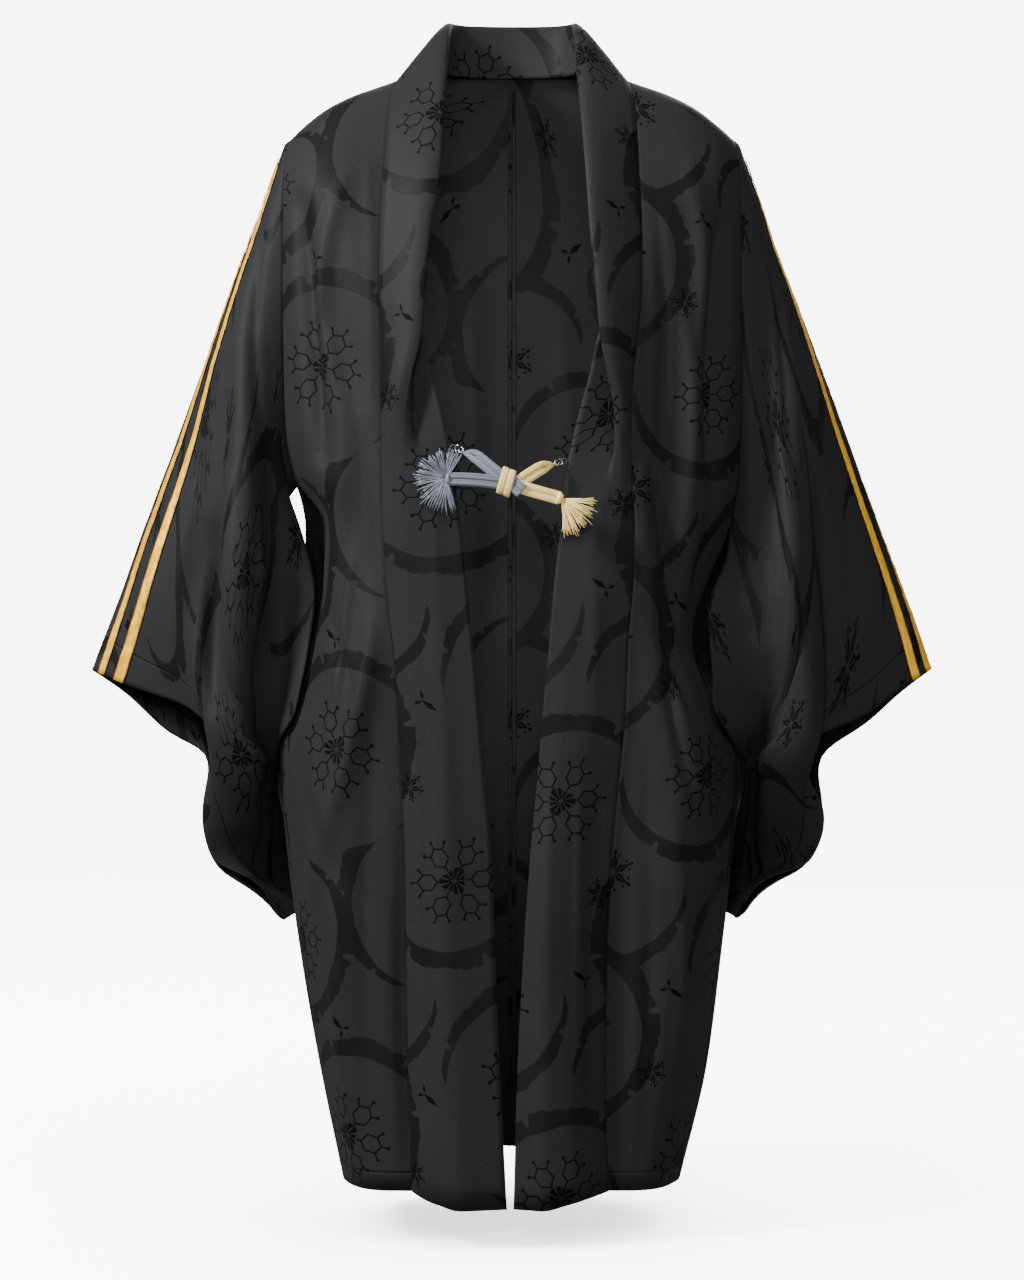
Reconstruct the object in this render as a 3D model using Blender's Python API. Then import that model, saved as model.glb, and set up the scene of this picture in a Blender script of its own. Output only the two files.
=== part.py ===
"""A long haori, worn open and tied with a himo: front and back panels, side gussets, collar band,
two wide sleeves with gold ribbons, and the tie with its rings and tassels.

Metres, +Z up. The wearer faces -Y, and their right side is at -X. The origin lies between the
shoulders, level with the points where the shoulders meet the neck, and the hem hangs 1 m below it.
"""

import math

import bmesh
import bpy
import numpy as np

# Driving sizes
BAND_DIP = 0.012  # how far the band hangs below the panels' hem
CLOTH = 0.0016  # thickness of the lined silk
SEAM = 0.0008  # clear space between two panels that are sewn together
RIBBON = 0.0006  # thickness of the gold ribbon
UNDERARM_Z = {-1: -0.365, 1: -0.410}  # where each sleeve's seam ends, by side
PANEL_COLUMNS = 11
GUSSET_COLUMNS = 6
SLEEVE_STEPS = 14  # sections along a sleeve
SLEEVE_FREE = 11  # points around a section below the underarm
ARMHOLE_SEAM = 0.0011  # clear space at the armhole, where the sleeve turns away from the body

# One row per level of a front: z, then the (x, y) of the collar's seam, the panel's ridge, the
# side seam, the band's crest, the valley behind the crest, and the band's front edge.
FRONT_RIGHT = (
    (-1.000, 0.0885, -0.112, 0.122, -0.108, 0.150, -0.060, 0.0700, -0.135, 0.0450, -0.143, 0.0045, -0.135),
    (-0.900, 0.0915, -0.113, 0.132, -0.112, 0.170, -0.060, 0.0760, -0.134, 0.0500, -0.142, 0.0100, -0.135),
    (-0.800, 0.0930, -0.115, 0.142, -0.115, 0.187, -0.058, 0.0800, -0.133, 0.0550, -0.141, 0.0140, -0.135),
    (-0.700, 0.0945, -0.119, 0.150, -0.115, 0.200, -0.055, 0.0830, -0.132, 0.0560, -0.140, 0.0175, -0.134),
    (-0.620, 0.0990, -0.121, 0.153, -0.113, 0.206, -0.050, 0.0840, -0.131, 0.0580, -0.136, 0.0252, -0.132),
    (-0.540, 0.1030, -0.121, 0.150, -0.111, 0.188, -0.046, 0.0850, -0.129, 0.0600, -0.133, 0.0325, -0.130),
    (-0.470, 0.1110, -0.119, 0.148, -0.110, 0.172, -0.044, 0.0890, -0.127, 0.0650, -0.130, 0.0395, -0.127),
    (-0.410, 0.1145, -0.117, 0.148, -0.108, 0.168, -0.044, 0.0930, -0.125, 0.0700, -0.128, 0.0460, -0.124),
    (-0.365, 0.1155, -0.115, 0.158, -0.104, 0.197, -0.048, 0.0950, -0.124, 0.0760, -0.126, 0.0520, -0.122),
    (-0.325, 0.1160, -0.112, 0.163, -0.101, 0.204, -0.050, 0.0950, -0.125, 0.0850, -0.117, 0.0590, -0.121),
    (-0.285, 0.1165, -0.108, 0.167, -0.096, 0.2055, -0.050, 0.0890, -0.127, 0.0980, -0.110, 0.0690, -0.117),
    (-0.245, 0.1168, -0.104, 0.171, -0.091, 0.2065, -0.049, 0.0800, -0.124, 0.1000, -0.104, 0.0790, -0.108),
    (-0.200, 0.1185, -0.098, 0.175, -0.085, 0.2070, -0.048, 0.0765, -0.117, 0.0950, -0.099, 0.1080, -0.088),
    (-0.150, 0.1185, -0.088, 0.178, -0.075, 0.2075, -0.043, 0.0723, -0.107, 0.0920, -0.089, 0.1080, -0.076),
    (-0.100, 0.1160, -0.073, 0.180, -0.060, 0.2075, -0.035, 0.0660, -0.093, 0.0850, -0.076, 0.1040, -0.062),
)
FRONT_LEFT = (
    (-1.000, 0.0854, -0.112, 0.118, -0.109, 0.149, -0.060, 0.0546, -0.138, 0.0275, -0.143, 0.0015, -0.134),
    (-0.900, 0.0830, -0.113, 0.128, -0.112, 0.172, -0.060, 0.0500, -0.137, 0.0280, -0.142, 0.0045, -0.133),
    (-0.800, 0.0845, -0.115, 0.138, -0.114, 0.185, -0.058, 0.0480, -0.136, 0.0290, -0.141, 0.0095, -0.133),
    (-0.700, 0.0890, -0.118, 0.145, -0.114, 0.196, -0.056, 0.0500, -0.135, 0.0320, -0.139, 0.0165, -0.132),
    (-0.640, 0.0945, -0.120, 0.150, -0.113, 0.2005, -0.052, 0.0540, -0.134, 0.0370, -0.136, 0.0220, -0.131),
    (-0.580, 0.1003, -0.120, 0.150, -0.111, 0.184, -0.048, 0.0620, -0.131, 0.0430, -0.133, 0.0270, -0.130),
    (-0.515, 0.1030, -0.120, 0.143, -0.110, 0.163, -0.044, 0.0720, -0.129, 0.0520, -0.131, 0.0330, -0.128),
    (-0.460, 0.1075, -0.119, 0.147, -0.108, 0.178, -0.046, 0.0830, -0.127, 0.0630, -0.128, 0.0375, -0.126),
    (-0.410, 0.1085, -0.117, 0.155, -0.106, 0.197, -0.050, 0.0920, -0.123, 0.0740, -0.126, 0.0435, -0.124),
    (-0.360, 0.1040, -0.114, 0.160, -0.103, 0.2045, -0.051, 0.0960, -0.120, 0.0860, -0.119, 0.0487, -0.121),
    (-0.320, 0.1050, -0.111, 0.165, -0.099, 0.206, -0.051, 0.0925, -0.124, 0.0980, -0.108, 0.0575, -0.118),
    (-0.280, 0.1075, -0.107, 0.168, -0.094, 0.2065, -0.050, 0.0845, -0.124, 0.0990, -0.105, 0.0683, -0.113),
    (-0.242, 0.1125, -0.103, 0.170, -0.090, 0.207, -0.049, 0.0775, -0.122, 0.0980, -0.102, 0.0770, -0.106),
    (-0.200, 0.1160, -0.098, 0.175, -0.085, 0.207, -0.048, 0.0745, -0.117, 0.0940, -0.099, 0.1060, -0.088),
    (-0.150, 0.1165, -0.088, 0.180, -0.075, 0.2075, -0.043, 0.0695, -0.107, 0.0900, -0.089, 0.1060, -0.076),
    (-0.100, 0.1150, -0.073, 0.181, -0.060, 0.2075, -0.035, 0.0663, -0.093, 0.0850, -0.076, 0.1030, -0.062),
)

# One row per step over the shoulder and round the neck, front to centre back. Each row holds the
# (x, y, z) of the collar's seam, the shoulder's middle, the sleeve's seam, the band's crest, the
# valley inside it, and the band's inner edge.
SHOULDER = (
    ((0.1135, -0.050, -0.050), (0.178, -0.042, -0.064), (0.2075, -0.026, -0.076),
     (0.0625, -0.060, -0.036), (0.0760, -0.050, -0.050), (0.0960, -0.040, -0.060)),
    ((0.1110, -0.022, -0.014), (0.172, -0.020, -0.034), (0.2075, -0.012, -0.062),
     (0.0610, -0.024, 0.012), (0.0700, -0.020, -0.012), (0.0860, -0.014, -0.030)),
    ((0.1050, 0.004, 0.002), (0.160, 0.004, -0.021), (0.2075, 0.004, -0.057),
     (0.0600, 0.010, 0.050), (0.0650, 0.006, 0.024), (0.0730, 0.002, 0.000)),
    ((0.0850, 0.032, 0.008), (0.142, 0.032, -0.022), (0.2075, 0.018, -0.063),
     (0.0590, 0.037, 0.062), (0.0590, 0.027, 0.036), (0.0610, 0.022, 0.012)),
    ((0.0480, 0.054, 0.012), (0.126, 0.055, -0.038), (0.2075, 0.030, -0.080),
     (0.0400, 0.060, 0.0640), (0.0390, 0.049, 0.038), (0.0390, 0.044, 0.0130)),
    ((0.0002, 0.062, 0.0127), (0.115, 0.073, -0.065), (0.2075, 0.040, -0.105),
     (0.0000, 0.068, 0.0650), (0.0000, 0.057, 0.039), (0.0000, 0.052, 0.0135)),
)

# One row per level of the back: z, then the (x, y) of the centre seam, the middle and the side.
BACK = (
    (-0.150, 0.0002, 0.088, 0.112, 0.090, 0.2075, 0.044),
    (-0.250, 0.0002, 0.095, 0.115, 0.098, 0.2065, 0.050),
    (-0.365, 0.0002, 0.098, 0.118, 0.102, 0.1970, 0.048),
    (-0.410, 0.0002, 0.098, 0.118, 0.103, 0.1680, 0.044),
    (-0.470, 0.0002, 0.099, 0.120, 0.104, 0.1720, 0.044),
    (-0.540, 0.0002, 0.100, 0.122, 0.105, 0.1880, 0.046),
    (-0.620, 0.0002, 0.102, 0.125, 0.106, 0.2060, 0.050),
    (-0.700, 0.0002, 0.105, 0.125, 0.107, 0.2000, 0.055),
    (-0.800, 0.0002, 0.108, 0.118, 0.108, 0.1870, 0.058),
    (-0.900, 0.0002, 0.110, 0.110, 0.107, 0.1700, 0.060),
    (-1.000, 0.0002, 0.111, 0.098, 0.105, 0.1500, 0.060),
)

# The x of the back's side seam from the hip to the underarm, where the front is drawn in more than
# the back: z, right, left.
BACK_SIDE = (
    (-0.620, 0.2060, 0.2010),
    (-0.540, 0.1965, 0.2005),
    (-0.470, 0.1915, 0.2020),
    (-0.410, 0.1915, 0.2055),
    (-0.365, 0.1970, 0.2055),
)

# How far each gusset fills out between its seams, as a share of its width: z, right, left.
GUSSET_REACH = (
    (-1.00, 0.30, 0.30),
    (-0.70, 0.35, 0.35),
    (-0.62, 0.40, 0.50),
    (-0.54, 0.35, 0.40),
    (-0.47, 0.30, 0.30),
    (-0.41, 0.30, 0.12),
    (-0.36, 0.25, 0.12),
)

# One row per section of a sleeve, armhole to cuff: the (x, y, z) of ten points around it, from
# the top fold down the front to the bottom seam and up the back.
SLEEVE = (
    ((0.2080, 0.004, -0.057), (0.2085, -0.036, -0.110), (0.2075, -0.050, -0.230), (0.2050, -0.050, -0.350),
     (0.1915, -0.063, -0.480), (0.2045, -0.064, -0.592), (0.2130, 0.034, -0.520), (0.2085, 0.050, -0.370),
     (0.2075, 0.050, -0.230), (0.2085, 0.038, -0.110)),
    ((0.2520, 0.000, -0.178), (0.2515, -0.034, -0.215), (0.2500, -0.056, -0.300), (0.2460, -0.074, -0.400),
     (0.2400, -0.076, -0.500), (0.2260, 0.006, -0.634), (0.2350, 0.046, -0.540), (0.2460, 0.050, -0.400),
     (0.2500, 0.048, -0.300), (0.2515, 0.030, -0.215)),
    ((0.2970, 0.000, -0.300), (0.2930, -0.027, -0.335), (0.2830, -0.045, -0.410), (0.2680, -0.058, -0.490),
     (0.2420, -0.056, -0.580), (0.2150, 0.068, -0.676), (0.2380, 0.066, -0.590), (0.2640, 0.050, -0.495),
     (0.2820, 0.043, -0.410), (0.2930, 0.025, -0.335)),
    ((0.3410, 0.000, -0.420), (0.3340, -0.022, -0.447), (0.3120, -0.038, -0.500), (0.2850, -0.050, -0.560),
     (0.2620, -0.045, -0.650), (0.2010, 0.091, -0.745), (0.2480, 0.072, -0.665), (0.2790, 0.045, -0.590),
     (0.3100, 0.037, -0.515), (0.3330, 0.021, -0.450)),
)
CUFF_RIGHT = (
    (0.3860, 0.000, -0.542), (0.3620, -0.018, -0.551), (0.3250, -0.032, -0.5635), (0.2740, -0.044, -0.592),
    (0.2790, -0.031, -0.657), (0.2610, -0.022, -0.734), (0.2260, -0.006, -0.7710), (0.2620, -0.010, -0.733),
    (0.2815, -0.018, -0.657), (0.2850, 0.014, -0.620), (0.3170, 0.030, -0.602), (0.3595, 0.020, -0.563),
)
CUFF_LEFT = (
    (0.3865, 0.000, -0.541), (0.3560, -0.021, -0.558), (0.3132, -0.035, -0.586), (0.2560, -0.050, -0.618),
    (0.2800, -0.032, -0.659), (0.2600, -0.022, -0.732), (0.2260, -0.006, -0.7690), (0.2610, -0.010, -0.731),
    (0.2830, -0.018, -0.659), (0.2873, 0.014, -0.622), (0.3270, 0.030, -0.594), (0.3620, 0.020, -0.562),
)

# One row per large fold: side, front (-1) or back (1), the (x, z) of its start, middle and end as
# seen from the front, half width, and how far it stands out (a valley is below zero).
BODY_FOLDS = (
    (-1, -1, 0.193, -0.12, 0.180, -0.24, 0.170, -0.35, 0.013, -0.016),
    (-1, -1, 0.113, -0.47, 0.138, -0.59, 0.180, -0.73, 0.016, 0.008),
    (-1, -1, 0.165, -0.25, 0.148, -0.32, 0.160, -0.44, 0.014, 0.007),
    (1, -1, 0.196, -0.14, 0.184, -0.26, 0.190, -0.37, 0.014, -0.018),
    (1, -1, 0.126, -0.39, 0.148, -0.46, 0.166, -0.52, 0.014, -0.008),
    (1, -1, 0.150, -0.56, 0.165, -0.70, 0.160, -0.86, 0.020, 0.008),
    (-1, 1, 0.165, -0.16, 0.150, -0.34, 0.140, -0.52, 0.022, 0.010),
    (-1, 1, 0.075, -0.50, 0.070, -0.72, 0.060, -0.98, 0.022, 0.010),
    (1, 1, 0.160, -0.14, 0.145, -0.36, 0.150, -0.56, 0.022, 0.010),
    (1, 1, 0.090, -0.46, 0.082, -0.70, 0.070, -0.98, 0.024, 0.010),
)
SLEEVE_FOLDS = (
    (-1, -1, 0.236, -0.25, 0.243, -0.45, 0.246, -0.68, 0.016, 0.014),
    (-1, -1, 0.216, -0.34, 0.212, -0.48, 0.216, -0.60, 0.010, -0.014),
    (-1, -1, 0.266, -0.42, 0.270, -0.50, 0.268, -0.57, 0.012, -0.012),
    (1, -1, 0.222, -0.16, 0.224, -0.32, 0.226, -0.50, 0.012, -0.014),
    (1, -1, 0.250, -0.36, 0.262, -0.50, 0.258, -0.62, 0.018, 0.010),
    (-1, 1, 0.236, -0.24, 0.242, -0.44, 0.240, -0.64, 0.018, 0.012),
    (-1, 1, 0.270, -0.36, 0.278, -0.48, 0.272, -0.58, 0.014, -0.010),
    (1, 1, 0.240, -0.22, 0.250, -0.42, 0.246, -0.62, 0.018, 0.012),
    (1, 1, 0.276, -0.38, 0.284, -0.48, 0.280, -0.58, 0.014, -0.010),
)

# One row per gold ribbon: side, its distance in front of the sleeve's top fold at the shoulder, at
# the middle and at the cuff (a ribbon behind the fold is below zero), and its width.
RIBBONS = (
    (-1, "outer", 0.0020, 0.0100, 0.0115, 0.0080),
    (-1, "inner", 0.0160, 0.0250, 0.0300, 0.0115),
    (1, "outer", -0.0150, -0.0095, -0.0050, 0.0080),
    (1, "inner", 0.0030, 0.0115, 0.0150, 0.0100),
)

# The tie. Places are (x, y, z), and a row of one is one point of its line.
RING_WIRE = 0.0009
KNOT = (-0.0050, -0.1480, -0.3766)
BRAIDS = (
    ("himo_grey", "grey", 0.0026,
     ((-0.0453, -0.1273, -0.3459), (-0.0350, -0.1350, -0.3520), (-0.0240, -0.1420, -0.3600),
      (-0.0114, -0.1470, -0.3697))),
    ("himo_cream", "cream", 0.0026,
     ((0.0397, -0.1273, -0.3578), (0.0300, -0.1350, -0.3620), (0.0190, -0.1420, -0.3680),
      (0.0051, -0.1469, -0.3747))),
    ("himo_grey_tail", "grey", 0.0028,
     ((-0.0140, -0.1500, -0.3768), (-0.0300, -0.1515, -0.3750), (-0.0490, -0.1520, -0.3735))),
    ("himo_cream_tail", "cream", 0.0028,
     ((0.0029, -0.1498, -0.3806), (0.0200, -0.1500, -0.3850), (0.0389, -0.1485, -0.3899))),
)
TASSEL_HEAD = 0.0060
TASSELS = (
    {"colour": "grey", "head": (-0.0550, -0.1520, -0.3732), "aim": 176, "spread": 200, "length": 0.024,
     "fineness": 2, "between": 0.0007},
    {"colour": "cream", "head": (0.0450, -0.1480, -0.3915), "aim": -42, "spread": 95, "length": 0.027,
     "fineness": 3, "between": 0.0003},
)

COLOURS = {
    "cloth": (0.030, 0.031, 0.034),
    "gold": (0.62, 0.36, 0.06),
    "grey": (0.22, 0.24, 0.28),
    "cream": (0.78, 0.64, 0.38),
    "steel": (0.60, 0.60, 0.60),
}


def clear_scene():
    for item in list(bpy.data.objects):
        bpy.data.objects.remove(item, do_unlink=True)


def material(name, metallic=0.0, roughness=0.6):
    found = bpy.data.materials.get(name)
    if found:
        return found
    made = bpy.data.materials.new(name)
    made.use_nodes = True
    shader = made.node_tree.nodes["Principled BSDF"]
    shader.inputs["Base Color"].default_value = (*COLOURS[name], 1)
    shader.inputs["Metallic"].default_value = metallic
    shader.inputs["Roughness"].default_value = roughness
    made.diffuse_color = (*COLOURS[name], 1)
    return made


def curve_through(points, places):
    """The natural cubic spline through the points, read at places from 0 to 1 along its chords."""
    points = np.asarray(points, float)
    steps = np.linalg.norm(np.diff(points, axis=0), axis=1)
    knots = np.concatenate(([0.0], np.cumsum(np.maximum(steps, 1e-6))))
    knots /= knots[-1]
    count = len(points)
    gaps = np.diff(knots)
    system = np.zeros((count, count))
    system[0, 0] = 1
    system[-1, -1] = 1
    right = np.zeros_like(points)
    for i in range(1, count - 1):
        system[i, i - 1 : i + 2] = gaps[i - 1], 2 * (gaps[i - 1] + gaps[i]), gaps[i]
        slopes = (points[i + 1] - points[i]) / gaps[i] - (points[i] - points[i - 1]) / gaps[i - 1]
        right[i] = 6 * slopes
    bends = np.linalg.solve(system, right)
    places = np.asarray(places, float)
    i = np.clip(np.searchsorted(knots, places, side="right") - 1, 0, count - 2)
    h = gaps[i][:, None]
    a = ((knots[i + 1] - places) / gaps[i])[:, None]
    b = 1 - a
    return (
        a * points[i]
        + b * points[i + 1]
        + ((a**3 - a) * bends[i] + (b**3 - b) * bends[i + 1]) * h**2 / 6
    )


def ring_through(points, places):
    """A closed curve through the points, read at places from 0 to 1 around it."""
    points = np.asarray(points, float)
    wrapped = np.concatenate((points[-3:], points, points[:3]))
    steps = np.concatenate(([0.0], np.cumsum(np.linalg.norm(np.diff(wrapped, axis=0), axis=1))))
    start, end = steps[3], steps[3 + len(points)]
    wanted = start + np.asarray(places) * (end - start)
    return curve_through(wrapped, wanted / steps[-1])


def normals_of(grid, around=False):
    """Unit normals of a grid of points, rows by columns."""
    if around:
        across = np.roll(grid, -1, axis=1) - np.roll(grid, 1, axis=1)
    else:
        across = np.gradient(grid, axis=1)
    along = np.gradient(grid, axis=0)
    normal = np.cross(across, along)
    return normal / np.maximum(np.linalg.norm(normal, axis=2, keepdims=True), 1e-9)


def fold_height(x, z, start, middle, end, half_width, height):
    """How far a fold lifts each point: full at its middle, and fading out to both ends."""
    line = curve_through((start, middle, end), np.linspace(0, 1, 13))
    off = np.hypot(x[..., None] - line[:, 0], z[..., None] - line[:, 1])
    nearest = off.argmin(axis=-1)
    fade = np.sin(math.pi * (0.08 + 0.84 * nearest / 12)) ** 0.7
    return height * fade * np.exp(-((off.min(axis=-1) / half_width) ** 2))


def add_folds(grid, outward, folds, side):
    """Moves the points of a grid along the outward directions by the folds of its side."""
    x = grid[..., 0] * side
    lift = np.zeros(grid.shape[:2])
    for on, face, x0, z0, x1, z1, x2, z2, half_width, height in folds:
        if on != side:
            continue
        facing = np.clip(outward[..., 1] * face * 1.5, 0, 1)
        lift += facing * fold_height(x, grid[..., 2], (x0, z0), (x1, z1), (x2, z2), half_width, height)
    return grid + outward * lift[..., None]


def mirrored(points, side):
    return np.asarray(points, float) * (side, 1, 1)


def body_grid(side, columns):
    """A panel's points, from the front hem over the shoulder to the back hem, centre to side."""
    rows = []
    places = np.linspace(0, 1, columns)
    for row in FRONT_RIGHT if side < 0 else FRONT_LEFT:
        z = row[0]
        rows.append(curve_through([(row[1], row[2], z), (row[3], row[4], z), (row[5], row[6], z)], places))
    for seam, middle, outer, *_ in SHOULDER:
        rows.append(curve_through((seam, middle, outer), places))
    for z in back_levels(side):
        depths = [-row[0] for row in BACK]
        x0, y0, x1, y1, x2, y2 = (float(np.interp(-z, depths, [row[i] for row in BACK])) for i in range(1, 7))
        side_x = back_side_x(side, z) if z <= UNDERARM_Z[side] else x2
        rows.append(curve_through([(x0, y0, z), (x1, y1, z), (side_x, y2, z)], places))
    grid = mirrored(rows, side)
    outward = normals_of(grid) * -side
    folded = add_folds(grid, outward, BODY_FOLDS, side)
    # The seams stay where the tables put them.
    hold = np.sin(math.pi * np.clip(places * 2.2, 0, 0.5))
    hold = hold * np.sin(math.pi * np.clip((1 - places) * 2.6, 0, 0.5))
    return grid + (folded - grid) * hold[None, :, None]


def back_levels(side):
    """The back's levels: its own above the underarm, and the front's below it, so that the sides match."""
    under = UNDERARM_Z[side]
    above = [row[0] for row in BACK if row[0] > under + 0.02]
    below = [row[0] for row in (FRONT_RIGHT if side < 0 else FRONT_LEFT)[::-1] if row[0] <= under]
    return above + below


def side_edge_x(side, z):
    table = FRONT_RIGHT if side < 0 else FRONT_LEFT
    levels = [row[0] for row in table]
    return float(np.interp(z, levels, [row[5] for row in table]))


def back_side_x(side, z):
    """The x of the back's side seam below the underarm, in line with the front's below the hip."""
    levels = [row[0] for row in BACK_SIDE]
    if z <= levels[0]:
        return side_edge_x(side, z)
    return float(np.interp(z, levels, [row[1 if side < 0 else 2] for row in BACK_SIDE]))


def band_sections(side):
    """The band's sections on one side, from the hem to the centre back, as rows of points."""
    sections = []
    for row in FRONT_RIGHT if side < 0 else FRONT_LEFT:
        z, seam_x, seam_y = row[:3]
        # The band dips a little below the hem of the panels.
        drop = BAND_DIP * max(0.0, (-0.86 - z) / 0.14)
        seam = (seam_x, seam_y, z)
        crest = (row[7], row[8], z - 0.5 * drop)
        valley = (row[9], row[10], z - drop)
        edge = (row[11], row[12], z - drop)
        sections.append((seam, crest, valley, edge))
    for seam, _, _, crest, valley, edge in SHOULDER:
        sections.append((seam, crest, valley, edge))
    return [[np.array(point) * (side, 1, 1) for point in section] for section in sections]


def band_row(seam, crest, valley, edge, turn=0.0035):
    """One section of the band: flat, or turned at its crest round a roll of twice this radius."""
    to_seam = (seam - crest) / np.linalg.norm(seam - crest)
    to_valley = (valley - crest) / np.linalg.norm(valley - crest)
    apart = to_seam - to_valley
    apart /= np.linalg.norm(apart)
    before = crest + turn * (to_seam + apart)
    after = crest + turn * (to_valley - apart)
    start = seam - to_seam * 0.0012
    middle = (start + before) / 2 + apart * 0.002
    return [start, middle, before, crest, after, valley, (valley + edge) / 2, edge]


def band_grid():
    """The whole band, from the right hem round the neck to the left hem."""
    right = [band_row(*section) for section in band_sections(-1)]
    left = [band_row(*section) for section in band_sections(1)]
    return np.array(right + left[-2::-1])


def gusset_grid(side, columns):
    """The panel between the front's and the back's side seams, below the sleeve."""
    body = body_grid(side, PANEL_COLUMNS)
    fronts = body[: len(FRONT_RIGHT if side < 0 else FRONT_LEFT)]
    backs = body[-len(back_levels(side)) :]
    under = UNDERARM_Z[side]
    levels = [z for z in fronts[:, 0, 2] if z < under] + [under - 0.004]
    rows = []
    for z in levels:
        front, front_out = edge_at(fronts, z)
        back, back_out = edge_at(backs[::-1], z)
        shares = [row[1 if side < 0 else 2] for row in GUSSET_REACH]
        reach = np.interp(z, [row[0] for row in GUSSET_REACH], shares) * np.linalg.norm(back - front)
        start, end = front + front_out * SEAM, back + back_out * SEAM
        rows.append(blend(start, front_out * reach, end, back_out * reach, columns))
    return np.array(rows)


def edge_at(rows, z):
    """The point of a panel's outer edge at a level, and the direction in which the panel leaves it."""
    edge = rows[:, -1]
    inner = rows[:, -2]
    point = np.array([np.interp(z, edge[:, 2], edge[:, i]) for i in range(3)])
    before = np.array([np.interp(z, edge[:, 2], inner[:, i]) for i in range(3)])
    leaving = point - before
    leaving[2] = 0
    return point, leaving / np.linalg.norm(leaving)


def blend(start, start_way, end, end_way, columns):
    t = np.linspace(0, 1, columns)[:, None]
    return (
        (2 * t**3 - 3 * t**2 + 1) * start
        + (t**3 - 2 * t**2 + t) * start_way
        + (3 * t**2 - 2 * t**3) * end
        - (t**3 - t**2) * end_way
    )


def armhole_edge(side):
    """The body's edge round the armhole, from the front underarm over the shoulder to the back."""
    edge = body_grid(side, PANEL_COLUMNS)[:, -1] * (side, 1, 1)
    return edge[edge[:, 2] >= UNDERARM_Z[side] - 1e-6]


def sleeve_places(section, edge, free):
    """Places round a sleeve's first section: one at each point of the armhole, and the free ones below."""
    dense = np.arange(1200) / 1200
    curve = ring_through(section, dense)
    sewn = [dense[np.linalg.norm(curve - point, axis=1).argmin()] for point in edge]
    top = int(edge[:, 2].argmax())
    front = np.array(sewn[: top + 1][::-1])
    back = np.array(sewn[top + 1 :][::-1])
    front[0] = 0.0
    below = np.linspace(front[-1], back[0], free + 2)[1:-1]
    return np.concatenate((front, below, back)), top


def sleeve_grid(side, steps, free=SLEEVE_FREE):
    """A sleeve's points, sections by points around, from the armhole to the cuff."""
    edge = armhole_edge(side)
    places, top = sleeve_places(SLEEVE[0], edge, free)
    sections = [*SLEEVE, CUFF_RIGHT if side < 0 else CUFF_LEFT]
    rings = np.array([ring_through(section, places) for section in sections])
    way = np.linspace(0, 1, steps)
    grid = np.stack([curve_through(rings[:, j], way) for j in range(len(places))], axis=1)
    # The sewn part starts at the body's edge, and that shift fades out along the sleeve.
    first = grid[0].copy()
    first[: top + 1] = edge[: top + 1][::-1]
    first[len(first) - (len(edge) - top - 1) :] = edge[top + 1 :][::-1]
    first[:, 0] += ARMHOLE_SEAM
    fade = np.clip(1 - way * 3, 0, 1) ** 2
    grid = (grid + (first - grid[0])[None] * fade[:, None, None]) * (side, 1, 1)
    outward = outward_round(grid)
    folded = add_folds(grid, outward, SLEEVE_FOLDS, side)
    return grid + (folded - grid) * np.clip(way * 5, 0, 1)[:, None, None]


def outward_round(grid):
    """Normals of a tube of points, pointing out of it."""
    outward = normals_of(grid, around=True)
    middle = grid.mean(axis=1, keepdims=True)
    return outward if ((grid - middle) * outward).sum() > 0 else -outward


def ribbon_grid(side, row, steps, across=5):
    """A ribbon's points on the front of a sleeve, moved out by the cloth's and half its own thickness."""
    _, _, at_top, at_middle, at_cuff, width = row
    sleeve = sleeve_grid(side, SLEEVE_STEPS)
    outward = outward_round(sleeve)
    out = CLOTH / 2 + RIBBON / 2 + 0.0008
    rows = []
    for i in range(1, steps):
        place = i / (steps - 1)
        centre = float(np.interp(place, (0, 0.5, 1), (at_top, at_middle, at_cuff)))
        offsets = centre + width * np.linspace(-0.5, 0.5, across)
        rows.append([point_around(sleeve[i], outward[i], offset, out) for offset in offsets])
    return np.array(rows)


def point_around(section, outward, offset, out):
    """A point at a distance around a section from its top fold, moved outwards."""
    ahead = offset > 0
    points = section if ahead else np.roll(section[::-1], 1, axis=0)
    normals = outward if ahead else np.roll(outward[::-1], 1, axis=0)
    lengths = np.concatenate(([0.0], np.cumsum(np.linalg.norm(np.diff(points[:6], axis=0), axis=1))))
    point = [np.interp(abs(offset), lengths, points[:6, i]) for i in range(3)]
    normal = np.array([np.interp(abs(offset), lengths, normals[:6, i]) for i in range(3)])
    return np.array(point) + out * normal / np.linalg.norm(normal)


def sheet_object(name, grid, thickness, colour, around=False):
    """A wall of even thickness on both sides of a grid of points."""
    rows, columns = grid.shape[:2]
    builder = bmesh.new()
    points = [[builder.verts.new(point) for point in row] for row in grid]
    for i in range(rows - 1):
        for j in range(columns if around else columns - 1):
            k = (j + 1) % columns
            builder.faces.new((points[i][j], points[i][k], points[i + 1][k], points[i + 1][j]))
    bmesh.ops.recalc_face_normals(builder, faces=builder.faces)
    mesh = bpy.data.meshes.new(name)
    builder.to_mesh(mesh)
    builder.free()
    mesh.shade_smooth()
    made = bpy.data.objects.new(name, mesh)
    bpy.context.scene.collection.objects.link(made)
    wall = made.modifiers.new("wall", "SOLIDIFY")
    wall.thickness = thickness
    wall.offset = 0
    made.data.materials.append(material(colour))
    return made


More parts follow.
